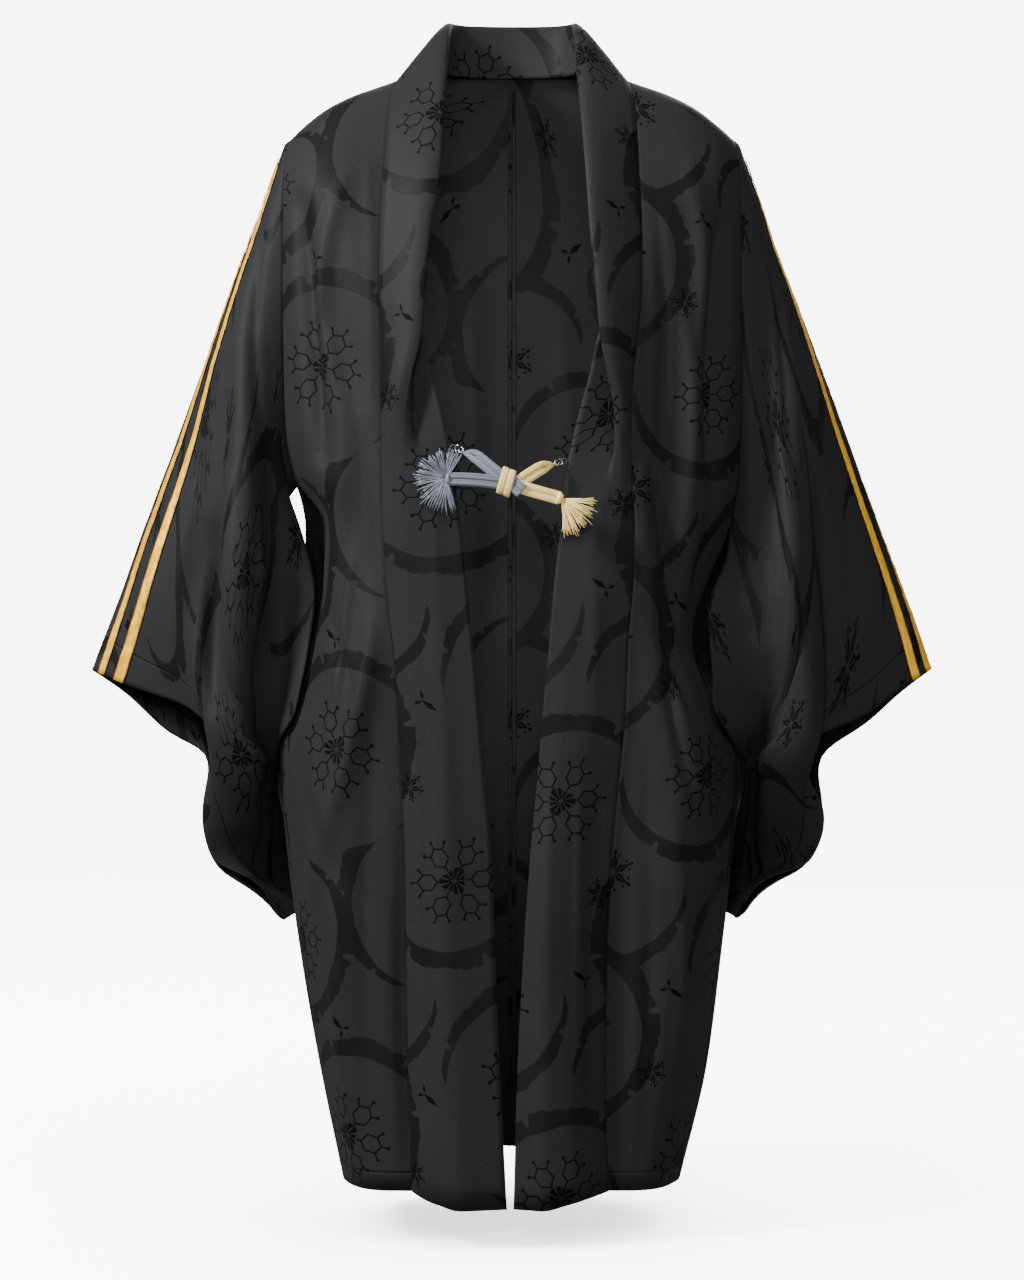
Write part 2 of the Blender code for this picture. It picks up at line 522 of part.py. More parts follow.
def line_object(name, points, colour, radius, closed=False, metallic=0.0):
    """A cord or wire along a smooth line through the points."""
    data = bpy.data.curves.new(name, "CURVE")
    data.dimensions = "3D"
    data.bevel_depth = radius
    data.bevel_resolution = 2
    data.use_fill_caps = True
    data.twist_mode = "Z_UP"
    line = data.splines.new("POLY")
    line.points.add(len(points) - 1)
    for spot, place in zip(line.points, points):
        spot.co = (*place, 1)
    line.use_cyclic_u = closed
    made = bpy.data.objects.new(name, data)
    bpy.context.scene.collection.objects.link(made)
    made.data.materials.append(material(colour, metallic, 0.3 if metallic else 0.6))
    return made


def ring_points(centre, radius, way_a, way_b, count=14):
    turns = np.arange(count) * 2 * math.pi / count
    return [
        np.array(centre) + radius * (math.cos(turn) * np.array(way_a) + math.sin(turn) * np.array(way_b))
        for turn in turns
    ]


def tassel_object(name, sizes):
    """A tassel's bound head whose fringe is drawn out of its faces, one strand from each face."""
    builder = bmesh.new()
    bmesh.ops.create_icosphere(builder, subdivisions=sizes["fineness"], radius=TASSEL_HEAD)
    half_spread = math.radians(sizes["spread"] / 2)
    rooted = [f for f in builder.faces if f.calc_center_median().angle((1, 0, 0)) < half_spread]
    for i, face in enumerate(rooted):
        way = face.calc_center_median().normalized()
        bmesh.ops.inset_individual(builder, faces=[face], thickness=sizes["between"], use_even_offset=True)
        tip = bmesh.ops.extrude_discrete_faces(builder, faces=[face])["faces"][0]
        reach = sizes["length"] * (0.88 + 0.12 * math.sin(2.3 * i))
        shift = way * reach
        shift.y = min(shift.y, 0.006) * 0.75
        for vert in tip.verts:
            vert.co += shift
    aim = math.radians(sizes["aim"])
    axis = np.array((math.cos(aim), 0, math.sin(aim)))
    across = np.array((-math.sin(aim), 0, math.cos(aim)))
    for vert in builder.verts:
        place = tuple(vert.co)
        turned = place[0] * axis + place[1] * np.array((0, 1, 0)) + place[2] * across
        vert.co = np.array(sizes["head"]) + turned
    return mesh_object(name, builder, sizes["colour"])


def mesh_object(name, builder, colour):
    mesh = bpy.data.meshes.new(name)
    builder.to_mesh(mesh)
    builder.free()
    made = bpy.data.objects.new(name, mesh)
    bpy.context.scene.collection.objects.link(made)
    made.data.materials.append(material(colour))
    return made


def smooth(points, count):
    return [tuple(point) for point in curve_through(points, np.linspace(0, 1, count))]


def make_tie():
    """The loops on the collar, the rings, both braids, the knot and the tassels."""
    knot = np.array(KNOT)
    for side, name, edge_x, z in ((-1, "right", 0.0557, -0.345), (1, "left", 0.0500, -0.357)):
        loop = (side * (edge_x - 0.0041), -0.1217, z)
        points = ring_points(loop, 0.0024, (1, 0, 0), (0, 0, 1))
        line_object("chi_loop_" + name, points, "cloth", 0.0007, closed=True)
    for name, centre, across in (
        ("s_ring_right", (-0.0482, -0.1250, -0.3455), (0.8, -0.6, 0)),
        ("s_ring_left", (0.0425, -0.1250, -0.3575), (-0.8, -0.6, 0)),
    ):
        points = ring_points(centre, 0.0030, across, (0, -0.2, 0.98), 16)
        line_object(name, points, "steel", RING_WIRE / 2, closed=True, metallic=1.0)
    for name, colour, radius, points in BRAIDS:
        line_object(name, smooth(points, 9), colour, radius)
    builder = bmesh.new()
    made = bmesh.ops.create_uvsphere(builder, u_segments=14, v_segments=8, radius=1.0)
    for vert in made["verts"]:
        x, y, z = vert.co
        lean = math.radians(-20)
        place = (x * 0.0085, z * 0.0125)
        vert.co = (
            knot[0] + place[0] * math.cos(lean) - place[1] * math.sin(lean),
            knot[1] + y * 0.0078,
            knot[2] + place[0] * math.sin(lean) + place[1] * math.cos(lean),
        )
    mesh_object("himo_knot", builder, "cream")
    for sizes in TASSELS:
        tassel_object("tassel_" + sizes["colour"], sizes)


def make_garment():
    for side, name in ((-1, "right"), (1, "left")):
        sheet_object("body_" + name, body_grid(side, PANEL_COLUMNS), CLOTH, "cloth")
        sheet_object("gusset_" + name, gusset_grid(side, GUSSET_COLUMNS), CLOTH, "cloth")
        sheet_object("sleeve_" + name, sleeve_grid(side, SLEEVE_STEPS), CLOTH, "cloth", around=True)
    sheet_object("collar", band_grid(), CLOTH, "cloth")
    for row in RIBBONS:
        side = row[0]
        name = "ribbon_" + ("right_" if side < 0 else "left_") + row[1]
        sheet_object(name, ribbon_grid(side, row, SLEEVE_STEPS), RIBBON, "gold")


clear_scene()
make_garment()
make_tie()
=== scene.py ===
"""The looks of a long haori, worn open and tied: figured silk, gold ribbons, a braided tie with tassels.

Metres, +Z up, and the wearer faces -Y. The tables of the cloth's form are those of the solids.
"""

import math
import random

import bmesh
import bpy
import numpy as np
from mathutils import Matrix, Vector, noise


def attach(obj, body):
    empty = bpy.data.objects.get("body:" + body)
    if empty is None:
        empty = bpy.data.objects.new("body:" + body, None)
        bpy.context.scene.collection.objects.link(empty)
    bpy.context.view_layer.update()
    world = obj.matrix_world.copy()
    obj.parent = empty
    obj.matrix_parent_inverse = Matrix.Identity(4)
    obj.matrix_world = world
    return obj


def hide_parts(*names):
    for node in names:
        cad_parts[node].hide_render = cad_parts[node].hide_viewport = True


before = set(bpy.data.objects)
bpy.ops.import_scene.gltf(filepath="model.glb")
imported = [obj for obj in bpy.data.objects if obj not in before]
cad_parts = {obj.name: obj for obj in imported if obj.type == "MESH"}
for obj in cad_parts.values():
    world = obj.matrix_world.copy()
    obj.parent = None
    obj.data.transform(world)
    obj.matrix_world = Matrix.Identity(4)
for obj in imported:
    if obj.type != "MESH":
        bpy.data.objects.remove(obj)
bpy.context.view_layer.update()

# Driving sizes
BAND_DIP = 0.012  # how far the band hangs below the panels' hem
CLOTH = 0.0016  # thickness of the lined silk
SEAM = 0.0008  # clear space between two panels that are sewn together
RIBBON = 0.0006  # thickness of the gold ribbon
UNDERARM_Z = {-1: -0.365, 1: -0.410}  # where each sleeve's seam ends, by side
PANEL_COLUMNS = 11
GUSSET_COLUMNS = 6
ARMHOLE_SEAM = 0.0011  # clear space at the armhole, where the sleeve turns away from the body

# One row per level of a front: z, then the (x, y) of the collar's seam, the panel's ridge, the
# side seam, the band's crest, the valley behind the crest, and the band's front edge.
FRONT_RIGHT = (
    (-1.000, 0.0885, -0.112, 0.122, -0.108, 0.150, -0.060, 0.0700, -0.135, 0.0450, -0.143, 0.0045, -0.135),
    (-0.900, 0.0915, -0.113, 0.132, -0.112, 0.170, -0.060, 0.0760, -0.134, 0.0500, -0.142, 0.0100, -0.135),
    (-0.800, 0.0930, -0.115, 0.142, -0.115, 0.187, -0.058, 0.0800, -0.133, 0.0550, -0.141, 0.0140, -0.135),
    (-0.700, 0.0945, -0.119, 0.150, -0.115, 0.200, -0.055, 0.0830, -0.132, 0.0560, -0.140, 0.0175, -0.134),
    (-0.620, 0.0990, -0.121, 0.153, -0.113, 0.206, -0.050, 0.0840, -0.131, 0.0580, -0.136, 0.0252, -0.132),
    (-0.540, 0.1030, -0.121, 0.150, -0.111, 0.188, -0.046, 0.0850, -0.129, 0.0600, -0.133, 0.0325, -0.130),
    (-0.470, 0.1110, -0.119, 0.148, -0.110, 0.172, -0.044, 0.0890, -0.127, 0.0650, -0.130, 0.0395, -0.127),
    (-0.410, 0.1145, -0.117, 0.148, -0.108, 0.168, -0.044, 0.0930, -0.125, 0.0700, -0.128, 0.0460, -0.124),
    (-0.365, 0.1155, -0.115, 0.158, -0.104, 0.197, -0.048, 0.0950, -0.124, 0.0760, -0.126, 0.0520, -0.122),
    (-0.325, 0.1160, -0.112, 0.163, -0.101, 0.204, -0.050, 0.0950, -0.125, 0.0850, -0.117, 0.0590, -0.121),
    (-0.285, 0.1165, -0.108, 0.167, -0.096, 0.2055, -0.050, 0.0890, -0.127, 0.0980, -0.110, 0.0690, -0.117),
    (-0.245, 0.1168, -0.104, 0.171, -0.091, 0.2065, -0.049, 0.0800, -0.124, 0.1000, -0.104, 0.0790, -0.108),
    (-0.200, 0.1185, -0.098, 0.175, -0.085, 0.2070, -0.048, 0.0765, -0.117, 0.0950, -0.099, 0.1080, -0.088),
    (-0.150, 0.1185, -0.088, 0.178, -0.075, 0.2075, -0.043, 0.0723, -0.107, 0.0920, -0.089, 0.1080, -0.076),
    (-0.100, 0.1160, -0.073, 0.180, -0.060, 0.2075, -0.035, 0.0660, -0.093, 0.0850, -0.076, 0.1040, -0.062),
)
FRONT_LEFT = (
    (-1.000, 0.0854, -0.112, 0.118, -0.109, 0.149, -0.060, 0.0546, -0.138, 0.0275, -0.143, 0.0015, -0.134),
    (-0.900, 0.0830, -0.113, 0.128, -0.112, 0.172, -0.060, 0.0500, -0.137, 0.0280, -0.142, 0.0045, -0.133),
    (-0.800, 0.0845, -0.115, 0.138, -0.114, 0.185, -0.058, 0.0480, -0.136, 0.0290, -0.141, 0.0095, -0.133),
    (-0.700, 0.0890, -0.118, 0.145, -0.114, 0.196, -0.056, 0.0500, -0.135, 0.0320, -0.139, 0.0165, -0.132),
    (-0.640, 0.0945, -0.120, 0.150, -0.113, 0.2005, -0.052, 0.0540, -0.134, 0.0370, -0.136, 0.0220, -0.131),
    (-0.580, 0.1003, -0.120, 0.150, -0.111, 0.184, -0.048, 0.0620, -0.131, 0.0430, -0.133, 0.0270, -0.130),
    (-0.515, 0.1030, -0.120, 0.143, -0.110, 0.163, -0.044, 0.0720, -0.129, 0.0520, -0.131, 0.0330, -0.128),
    (-0.460, 0.1075, -0.119, 0.147, -0.108, 0.178, -0.046, 0.0830, -0.127, 0.0630, -0.128, 0.0375, -0.126),
    (-0.410, 0.1085, -0.117, 0.155, -0.106, 0.197, -0.050, 0.0920, -0.123, 0.0740, -0.126, 0.0435, -0.124),
    (-0.360, 0.1040, -0.114, 0.160, -0.103, 0.2045, -0.051, 0.0960, -0.120, 0.0860, -0.119, 0.0487, -0.121),
    (-0.320, 0.1050, -0.111, 0.165, -0.099, 0.206, -0.051, 0.0925, -0.124, 0.0980, -0.108, 0.0575, -0.118),
    (-0.280, 0.1075, -0.107, 0.168, -0.094, 0.2065, -0.050, 0.0845, -0.124, 0.0990, -0.105, 0.0683, -0.113),
    (-0.242, 0.1125, -0.103, 0.170, -0.090, 0.207, -0.049, 0.0775, -0.122, 0.0980, -0.102, 0.0770, -0.106),
    (-0.200, 0.1160, -0.098, 0.175, -0.085, 0.207, -0.048, 0.0745, -0.117, 0.0940, -0.099, 0.1060, -0.088),
    (-0.150, 0.1165, -0.088, 0.180, -0.075, 0.2075, -0.043, 0.0695, -0.107, 0.0900, -0.089, 0.1060, -0.076),
    (-0.100, 0.1150, -0.073, 0.181, -0.060, 0.2075, -0.035, 0.0663, -0.093, 0.0850, -0.076, 0.1030, -0.062),
)

# One row per step over the shoulder and round the neck, front to centre back. Each row holds the
# (x, y, z) of the collar's seam, the shoulder's middle, the sleeve's seam, the band's crest, the
# valley inside it, and the band's inner edge.
SHOULDER = (
    ((0.1135, -0.050, -0.050), (0.178, -0.042, -0.064), (0.2075, -0.026, -0.076),
     (0.0625, -0.060, -0.036), (0.0760, -0.050, -0.050), (0.0960, -0.040, -0.060)),
    ((0.1110, -0.022, -0.014), (0.172, -0.020, -0.034), (0.2075, -0.012, -0.062),
     (0.0610, -0.024, 0.012), (0.0700, -0.020, -0.012), (0.0860, -0.014, -0.030)),
    ((0.1050, 0.004, 0.002), (0.160, 0.004, -0.021), (0.2075, 0.004, -0.057),
     (0.0600, 0.010, 0.050), (0.0650, 0.006, 0.024), (0.0730, 0.002, 0.000)),
    ((0.0850, 0.032, 0.008), (0.142, 0.032, -0.022), (0.2075, 0.018, -0.063),
     (0.0590, 0.037, 0.062), (0.0590, 0.027, 0.036), (0.0610, 0.022, 0.012)),
    ((0.0480, 0.054, 0.012), (0.126, 0.055, -0.038), (0.2075, 0.030, -0.080),
     (0.0400, 0.060, 0.0640), (0.0390, 0.049, 0.038), (0.0390, 0.044, 0.0130)),
    ((0.0002, 0.062, 0.0127), (0.115, 0.073, -0.065), (0.2075, 0.040, -0.105),
     (0.0000, 0.068, 0.0650), (0.0000, 0.057, 0.039), (0.0000, 0.052, 0.0135)),
)

# One row per level of the back: z, then the (x, y) of the centre seam, the middle and the side.
BACK = (
    (-0.150, 0.0002, 0.088, 0.112, 0.090, 0.2075, 0.044),
    (-0.250, 0.0002, 0.095, 0.115, 0.098, 0.2065, 0.050),
    (-0.365, 0.0002, 0.098, 0.118, 0.102, 0.1970, 0.048),
    (-0.410, 0.0002, 0.098, 0.118, 0.103, 0.1680, 0.044),
    (-0.470, 0.0002, 0.099, 0.120, 0.104, 0.1720, 0.044),
    (-0.540, 0.0002, 0.100, 0.122, 0.105, 0.1880, 0.046),
    (-0.620, 0.0002, 0.102, 0.125, 0.106, 0.2060, 0.050),
    (-0.700, 0.0002, 0.105, 0.125, 0.107, 0.2000, 0.055),
    (-0.800, 0.0002, 0.108, 0.118, 0.108, 0.1870, 0.058),
    (-0.900, 0.0002, 0.110, 0.110, 0.107, 0.1700, 0.060),
    (-1.000, 0.0002, 0.111, 0.098, 0.105, 0.1500, 0.060),
)

# The x of the back's side seam from the hip to the underarm, where the front is drawn in more than
# the back: z, right, left.
BACK_SIDE = (
    (-0.620, 0.2060, 0.2010),
    (-0.540, 0.1965, 0.2005),
    (-0.470, 0.1915, 0.2020),
    (-0.410, 0.1915, 0.2055),
    (-0.365, 0.1970, 0.2055),
)

# How far each gusset fills out between its seams, as a share of its width: z, right, left.
GUSSET_REACH = (
    (-1.00, 0.30, 0.30),
    (-0.70, 0.35, 0.35),
    (-0.62, 0.40, 0.50),
    (-0.54, 0.35, 0.40),
    (-0.47, 0.30, 0.30),
    (-0.41, 0.30, 0.12),
    (-0.36, 0.25, 0.12),
)

# One row per section of a sleeve, armhole to cuff: the (x, y, z) of ten points around it, from
# the top fold down the front to the bottom seam and up the back.
SLEEVE = (
    ((0.2080, 0.004, -0.057), (0.2085, -0.036, -0.110), (0.2075, -0.050, -0.230), (0.2050, -0.050, -0.350),
     (0.1915, -0.063, -0.480), (0.2045, -0.064, -0.592), (0.2130, 0.034, -0.520), (0.2085, 0.050, -0.370),
     (0.2075, 0.050, -0.230), (0.2085, 0.038, -0.110)),
    ((0.2520, 0.000, -0.178), (0.2515, -0.034, -0.215), (0.2500, -0.056, -0.300), (0.2460, -0.074, -0.400),
     (0.2400, -0.076, -0.500), (0.2260, 0.006, -0.634), (0.2350, 0.046, -0.540), (0.2460, 0.050, -0.400),
     (0.2500, 0.048, -0.300), (0.2515, 0.030, -0.215)),
    ((0.2970, 0.000, -0.300), (0.2930, -0.027, -0.335), (0.2830, -0.045, -0.410), (0.2680, -0.058, -0.490),
     (0.2420, -0.056, -0.580), (0.2150, 0.068, -0.676), (0.2380, 0.066, -0.590), (0.2640, 0.050, -0.495),
     (0.2820, 0.043, -0.410), (0.2930, 0.025, -0.335)),
    ((0.3410, 0.000, -0.420), (0.3340, -0.022, -0.447), (0.3120, -0.038, -0.500), (0.2850, -0.050, -0.560),
     (0.2620, -0.045, -0.650), (0.2010, 0.091, -0.745), (0.2480, 0.072, -0.665), (0.2790, 0.045, -0.590),
     (0.3100, 0.037, -0.515), (0.3330, 0.021, -0.450)),
)
CUFF_RIGHT = (
    (0.3860, 0.000, -0.542), (0.3620, -0.018, -0.551), (0.3250, -0.032, -0.5635), (0.2740, -0.044, -0.592),
    (0.2790, -0.031, -0.657), (0.2610, -0.022, -0.734), (0.2260, -0.006, -0.7710), (0.2620, -0.010, -0.733),
    (0.2815, -0.018, -0.657), (0.2850, 0.014, -0.620), (0.3170, 0.030, -0.602), (0.3595, 0.020, -0.563),
)
CUFF_LEFT = (
    (0.3865, 0.000, -0.541), (0.3560, -0.021, -0.558), (0.3132, -0.035, -0.586), (0.2560, -0.050, -0.618),
    (0.2800, -0.032, -0.659), (0.2600, -0.022, -0.732), (0.2260, -0.006, -0.7690), (0.2610, -0.010, -0.731),
    (0.2830, -0.018, -0.659), (0.2873, 0.014, -0.622), (0.3270, 0.030, -0.594), (0.3620, 0.020, -0.562),
)

# One row per large fold: side, front (-1) or back (1), the (x, z) of its start, middle and end as
# seen from the front, half width, and how far it stands out (a valley is below zero).
BODY_FOLDS = (
    (-1, -1, 0.193, -0.12, 0.180, -0.24, 0.170, -0.35, 0.013, -0.016),
    (-1, -1, 0.113, -0.47, 0.138, -0.59, 0.180, -0.73, 0.016, 0.008),
    (-1, -1, 0.165, -0.25, 0.148, -0.32, 0.160, -0.44, 0.014, 0.007),
    (1, -1, 0.196, -0.14, 0.184, -0.26, 0.190, -0.37, 0.014, -0.018),
    (1, -1, 0.126, -0.39, 0.148, -0.46, 0.166, -0.52, 0.014, -0.008),
    (1, -1, 0.150, -0.56, 0.165, -0.70, 0.160, -0.86, 0.020, 0.008),
    (-1, 1, 0.165, -0.16, 0.150, -0.34, 0.140, -0.52, 0.022, 0.010),
    (-1, 1, 0.075, -0.50, 0.070, -0.72, 0.060, -0.98, 0.022, 0.010),
    (1, 1, 0.160, -0.14, 0.145, -0.36, 0.150, -0.56, 0.022, 0.010),
    (1, 1, 0.090, -0.46, 0.082, -0.70, 0.070, -0.98, 0.024, 0.010),
)
SLEEVE_FOLDS = (
    (-1, -1, 0.236, -0.25, 0.243, -0.45, 0.246, -0.68, 0.016, 0.014),
    (-1, -1, 0.216, -0.34, 0.212, -0.48, 0.216, -0.60, 0.010, -0.014),
    (-1, -1, 0.266, -0.42, 0.270, -0.50, 0.268, -0.57, 0.012, -0.012),
    (1, -1, 0.222, -0.16, 0.224, -0.32, 0.226, -0.50, 0.012, -0.014),
    (1, -1, 0.250, -0.36, 0.262, -0.50, 0.258, -0.62, 0.018, 0.010),
    (-1, 1, 0.236, -0.24, 0.242, -0.44, 0.240, -0.64, 0.018, 0.012),
    (-1, 1, 0.270, -0.36, 0.278, -0.48, 0.272, -0.58, 0.014, -0.010),
    (1, 1, 0.240, -0.22, 0.250, -0.42, 0.246, -0.62, 0.018, 0.012),
    (1, 1, 0.276, -0.38, 0.284, -0.48, 0.280, -0.58, 0.014, -0.010),
)

# One row per gold ribbon: side, its distance in front of the sleeve's top fold at the shoulder, at
# the middle and at the cuff (a ribbon behind the fold is below zero), and its width.
RIBBONS = (
    (-1, "outer", 0.0045, 0.0190, 0.0150, 0.0080),
    (-1, "inner", 0.0240, 0.0460, 0.0350, 0.0115),
    (1, "outer", -0.0110, -0.0020, 0.0075, 0.0080),
    (1, "inner", 0.0140, 0.0240, 0.0240, 0.0100),
)

# The tie. Places are (x, y, z), and a row of one is one point of its line.
KNOT = (-0.0050, -0.1480, -0.3766)
# The points of each braid between its neck at the ring and the knot.
BRAIDS = {
    "himo_grey": ((-0.0350, -0.1350, -0.3520), (-0.0240, -0.1420, -0.3600)),
    "himo_cream": ((0.0300, -0.1350, -0.3620), (0.0190, -0.1420, -0.3680)),
}


def curve_through(points, places):
    """The natural cubic spline through the points, read at places from 0 to 1 along its chords."""
    points = np.asarray(points, float)
    steps = np.linalg.norm(np.diff(points, axis=0), axis=1)
    knots = np.concatenate(([0.0], np.cumsum(np.maximum(steps, 1e-6))))
    knots /= knots[-1]
    count = len(points)
    gaps = np.diff(knots)
    system = np.zeros((count, count))
    system[0, 0] = 1
    system[-1, -1] = 1
    right = np.zeros_like(points)
    for i in range(1, count - 1):
        system[i, i - 1 : i + 2] = gaps[i - 1], 2 * (gaps[i - 1] + gaps[i]), gaps[i]
        slopes = (points[i + 1] - points[i]) / gaps[i] - (points[i] - points[i - 1]) / gaps[i - 1]
        right[i] = 6 * slopes
    bends = np.linalg.solve(system, right)
    places = np.asarray(places, float)
    i = np.clip(np.searchsorted(knots, places, side="right") - 1, 0, count - 2)
    h = gaps[i][:, None]
    a = ((knots[i + 1] - places) / gaps[i])[:, None]
    b = 1 - a
    return (
        a * points[i]
        + b * points[i + 1]
        + ((a**3 - a) * bends[i] + (b**3 - b) * bends[i + 1]) * h**2 / 6
    )


def ring_through(points, places):
    """A closed curve through the points, read at places from 0 to 1 around it."""
    points = np.asarray(points, float)
    wrapped = np.concatenate((points[-3:], points, points[:3]))
    steps = np.concatenate(([0.0], np.cumsum(np.linalg.norm(np.diff(wrapped, axis=0), axis=1))))
    start, end = steps[3], steps[3 + len(points)]
    wanted = start + np.asarray(places) * (end - start)
    return curve_through(wrapped, wanted / steps[-1])


def normals_of(grid, around=False):
    """Unit normals of a grid of points, rows by columns."""
    if around:
        across = np.roll(grid, -1, axis=1) - np.roll(grid, 1, axis=1)
    else:
        across = np.gradient(grid, axis=1)
    along = np.gradient(grid, axis=0)
    normal = np.cross(across, along)
    return normal / np.maximum(np.linalg.norm(normal, axis=2, keepdims=True), 1e-9)


def fold_height(x, z, start, middle, end, half_width, height):
    """How far a fold lifts each point: full at its middle, and fading out to both ends."""
    line = curve_through((start, middle, end), np.linspace(0, 1, 73))
    off = np.hypot(x[..., None] - line[:, 0], z[..., None] - line[:, 1])
    nearest = off.argmin(axis=-1)
    fade = np.sin(math.pi * (0.08 + 0.84 * nearest / 72)) ** 0.7
    return height * fade * np.exp(-((off.min(axis=-1) / half_width) ** 2))


def add_folds(grid, outward, folds, side):
    """Moves the points of a grid along the outward directions by the folds of its side."""
    x = grid[..., 0] * side
    lift = np.zeros(grid.shape[:2])
    for on, face, x0, z0, x1, z1, x2, z2, half_width, height in folds:
        if on != side:
            continue
        facing = np.clip(outward[..., 1] * face * 1.5, 0, 1)
        lift += facing * fold_height(x, grid[..., 2], (x0, z0), (x1, z1), (x2, z2), half_width, height)
    return grid + outward * lift[..., None]


def mirrored(points, side):
    return np.asarray(points, float) * (side, 1, 1)


def body_grid(side, columns):
    """A panel's points, from the front hem over the shoulder to the back hem, centre to side."""
    rows = []
    places = np.linspace(0, 1, columns)
    for row in FRONT_RIGHT if side < 0 else FRONT_LEFT:
        z = row[0]
        rows.append(curve_through([(row[1], row[2], z), (row[3], row[4], z), (row[5], row[6], z)], places))
    for seam, middle, outer, *_ in SHOULDER:
        rows.append(curve_through((seam, middle, outer), places))
    for z in back_levels(side):
        depths = [-row[0] for row in BACK]
        x0, y0, x1, y1, x2, y2 = (float(np.interp(-z, depths, [row[i] for row in BACK])) for i in range(1, 7))
        side_x = back_side_x(side, z) if z <= UNDERARM_Z[side] else x2
        rows.append(curve_through([(x0, y0, z), (x1, y1, z), (side_x, y2, z)], places))
    grid = mirrored(rows, side)
    return grid


def back_levels(side):
    """The back's levels: its own above the underarm, and the front's below it, so that the sides match."""
    under = UNDERARM_Z[side]
    above = [row[0] for row in BACK if row[0] > under + 0.02]
    below = [row[0] for row in (FRONT_RIGHT if side < 0 else FRONT_LEFT)[::-1] if row[0] <= under]
    return above + below


def side_edge_x(side, z):
    table = FRONT_RIGHT if side < 0 else FRONT_LEFT
    levels = [row[0] for row in table]
    return float(np.interp(z, levels, [row[5] for row in table]))


def back_side_x(side, z):
    """The x of the back's side seam below the underarm, in line with the front's below the hip."""
    levels = [row[0] for row in BACK_SIDE]
    if z <= levels[0]:
        return side_edge_x(side, z)
    return float(np.interp(z, levels, [row[1 if side < 0 else 2] for row in BACK_SIDE]))


def band_sections(side):
    """The band's sections on one side, from the hem to the centre back, as rows of points."""
    sections = []
    for row in FRONT_RIGHT if side < 0 else FRONT_LEFT:
        z, seam_x, seam_y = row[:3]
        # The band dips a little below the hem of the panels.
        drop = BAND_DIP * max(0.0, (-0.86 - z) / 0.14)
        seam = (seam_x, seam_y, z)
        crest = (row[7], row[8], z - 0.5 * drop)
        valley = (row[9], row[10], z - drop)
        edge = (row[11], row[12], z - drop)
        sections.append((seam, crest, valley, edge))
    for seam, _, _, crest, valley, edge in SHOULDER:
        sections.append((seam, crest, valley, edge))
    return [[np.array(point) * (side, 1, 1) for point in section] for section in sections]


def band_row(seam, crest, valley, edge, turn=0.0035):
    """One section of the band: flat, or turned at its crest round a roll of twice this radius."""
    to_seam = (seam - crest) / np.linalg.norm(seam - crest)
    to_valley = (valley - crest) / np.linalg.norm(valley - crest)
    apart = to_seam - to_valley
    apart /= np.linalg.norm(apart)
    before = crest + turn * (to_seam + apart)
    after = crest + turn * (to_valley - apart)
    start = seam - to_seam * 0.0012
    middle = (start + before) / 2 + apart * 0.002
    return [start, middle, before, crest, after, valley, (valley + edge) / 2, edge]


def band_grid():
    """The whole band, from the right hem round the neck to the left hem."""
    right = [band_row(*section) for section in band_sections(-1)]
    left = [band_row(*section) for section in band_sections(1)]
    return np.array(right + left[-2::-1])


def gusset_grid(side, columns):
    """The panel between the front's and the back's side seams, below the sleeve."""
    body = body_grid(side, PANEL_COLUMNS)
    fronts = body[: len(FRONT_RIGHT if side < 0 else FRONT_LEFT)]
    backs = body[-len(back_levels(side)) :]
    under = UNDERARM_Z[side]
    levels = [z for z in fronts[:, 0, 2] if z < under] + [under - 0.004]
    rows = []
    for z in levels:
        front, front_out = edge_at(fronts, z)
        back, back_out = edge_at(backs[::-1], z)
        shares = [row[1 if side < 0 else 2] for row in GUSSET_REACH]
        reach = np.interp(z, [row[0] for row in GUSSET_REACH], shares) * np.linalg.norm(back - front)
        start, end = front + front_out * SEAM, back + back_out * SEAM
        rows.append(blend(start, front_out * reach, end, back_out * reach, columns))
    return np.array(rows)


def edge_at(rows, z):
    """The point of a panel's outer edge at a level, and the direction in which the panel leaves it."""
    edge = rows[:, -1]
    inner = rows[:, -2]
    point = np.array([np.interp(z, edge[:, 2], edge[:, i]) for i in range(3)])
    before = np.array([np.interp(z, edge[:, 2], inner[:, i]) for i in range(3)])
    leaving = point - before
    leaving[2] = 0
    return point, leaving / np.linalg.norm(leaving)


def blend(start, start_way, end, end_way, columns):
    t = np.linspace(0, 1, columns)[:, None]
    return (
        (2 * t**3 - 3 * t**2 + 1) * start
        + (t**3 - 2 * t**2 + t) * start_way
        + (3 * t**2 - 2 * t**3) * end
        - (t**3 - t**2) * end_way
    )


def sleeve_places(section, edge, free):
    """Places round a sleeve's first section: one at each point of the armhole, and the free ones below."""
    dense = np.arange(1200) / 1200
    curve = ring_through(section, dense)
    sewn = [dense[np.linalg.norm(curve - point, axis=1).argmin()] for point in edge]
    top = int(edge[:, 2].argmax())
    front = np.array(sewn[: top + 1][::-1])
    back = np.array(sewn[top + 1 :][::-1])
    front[0] = 0.0
    below = np.linspace(front[-1], back[0], free + 2)[1:-1]
    return np.concatenate((front, below, back)), top


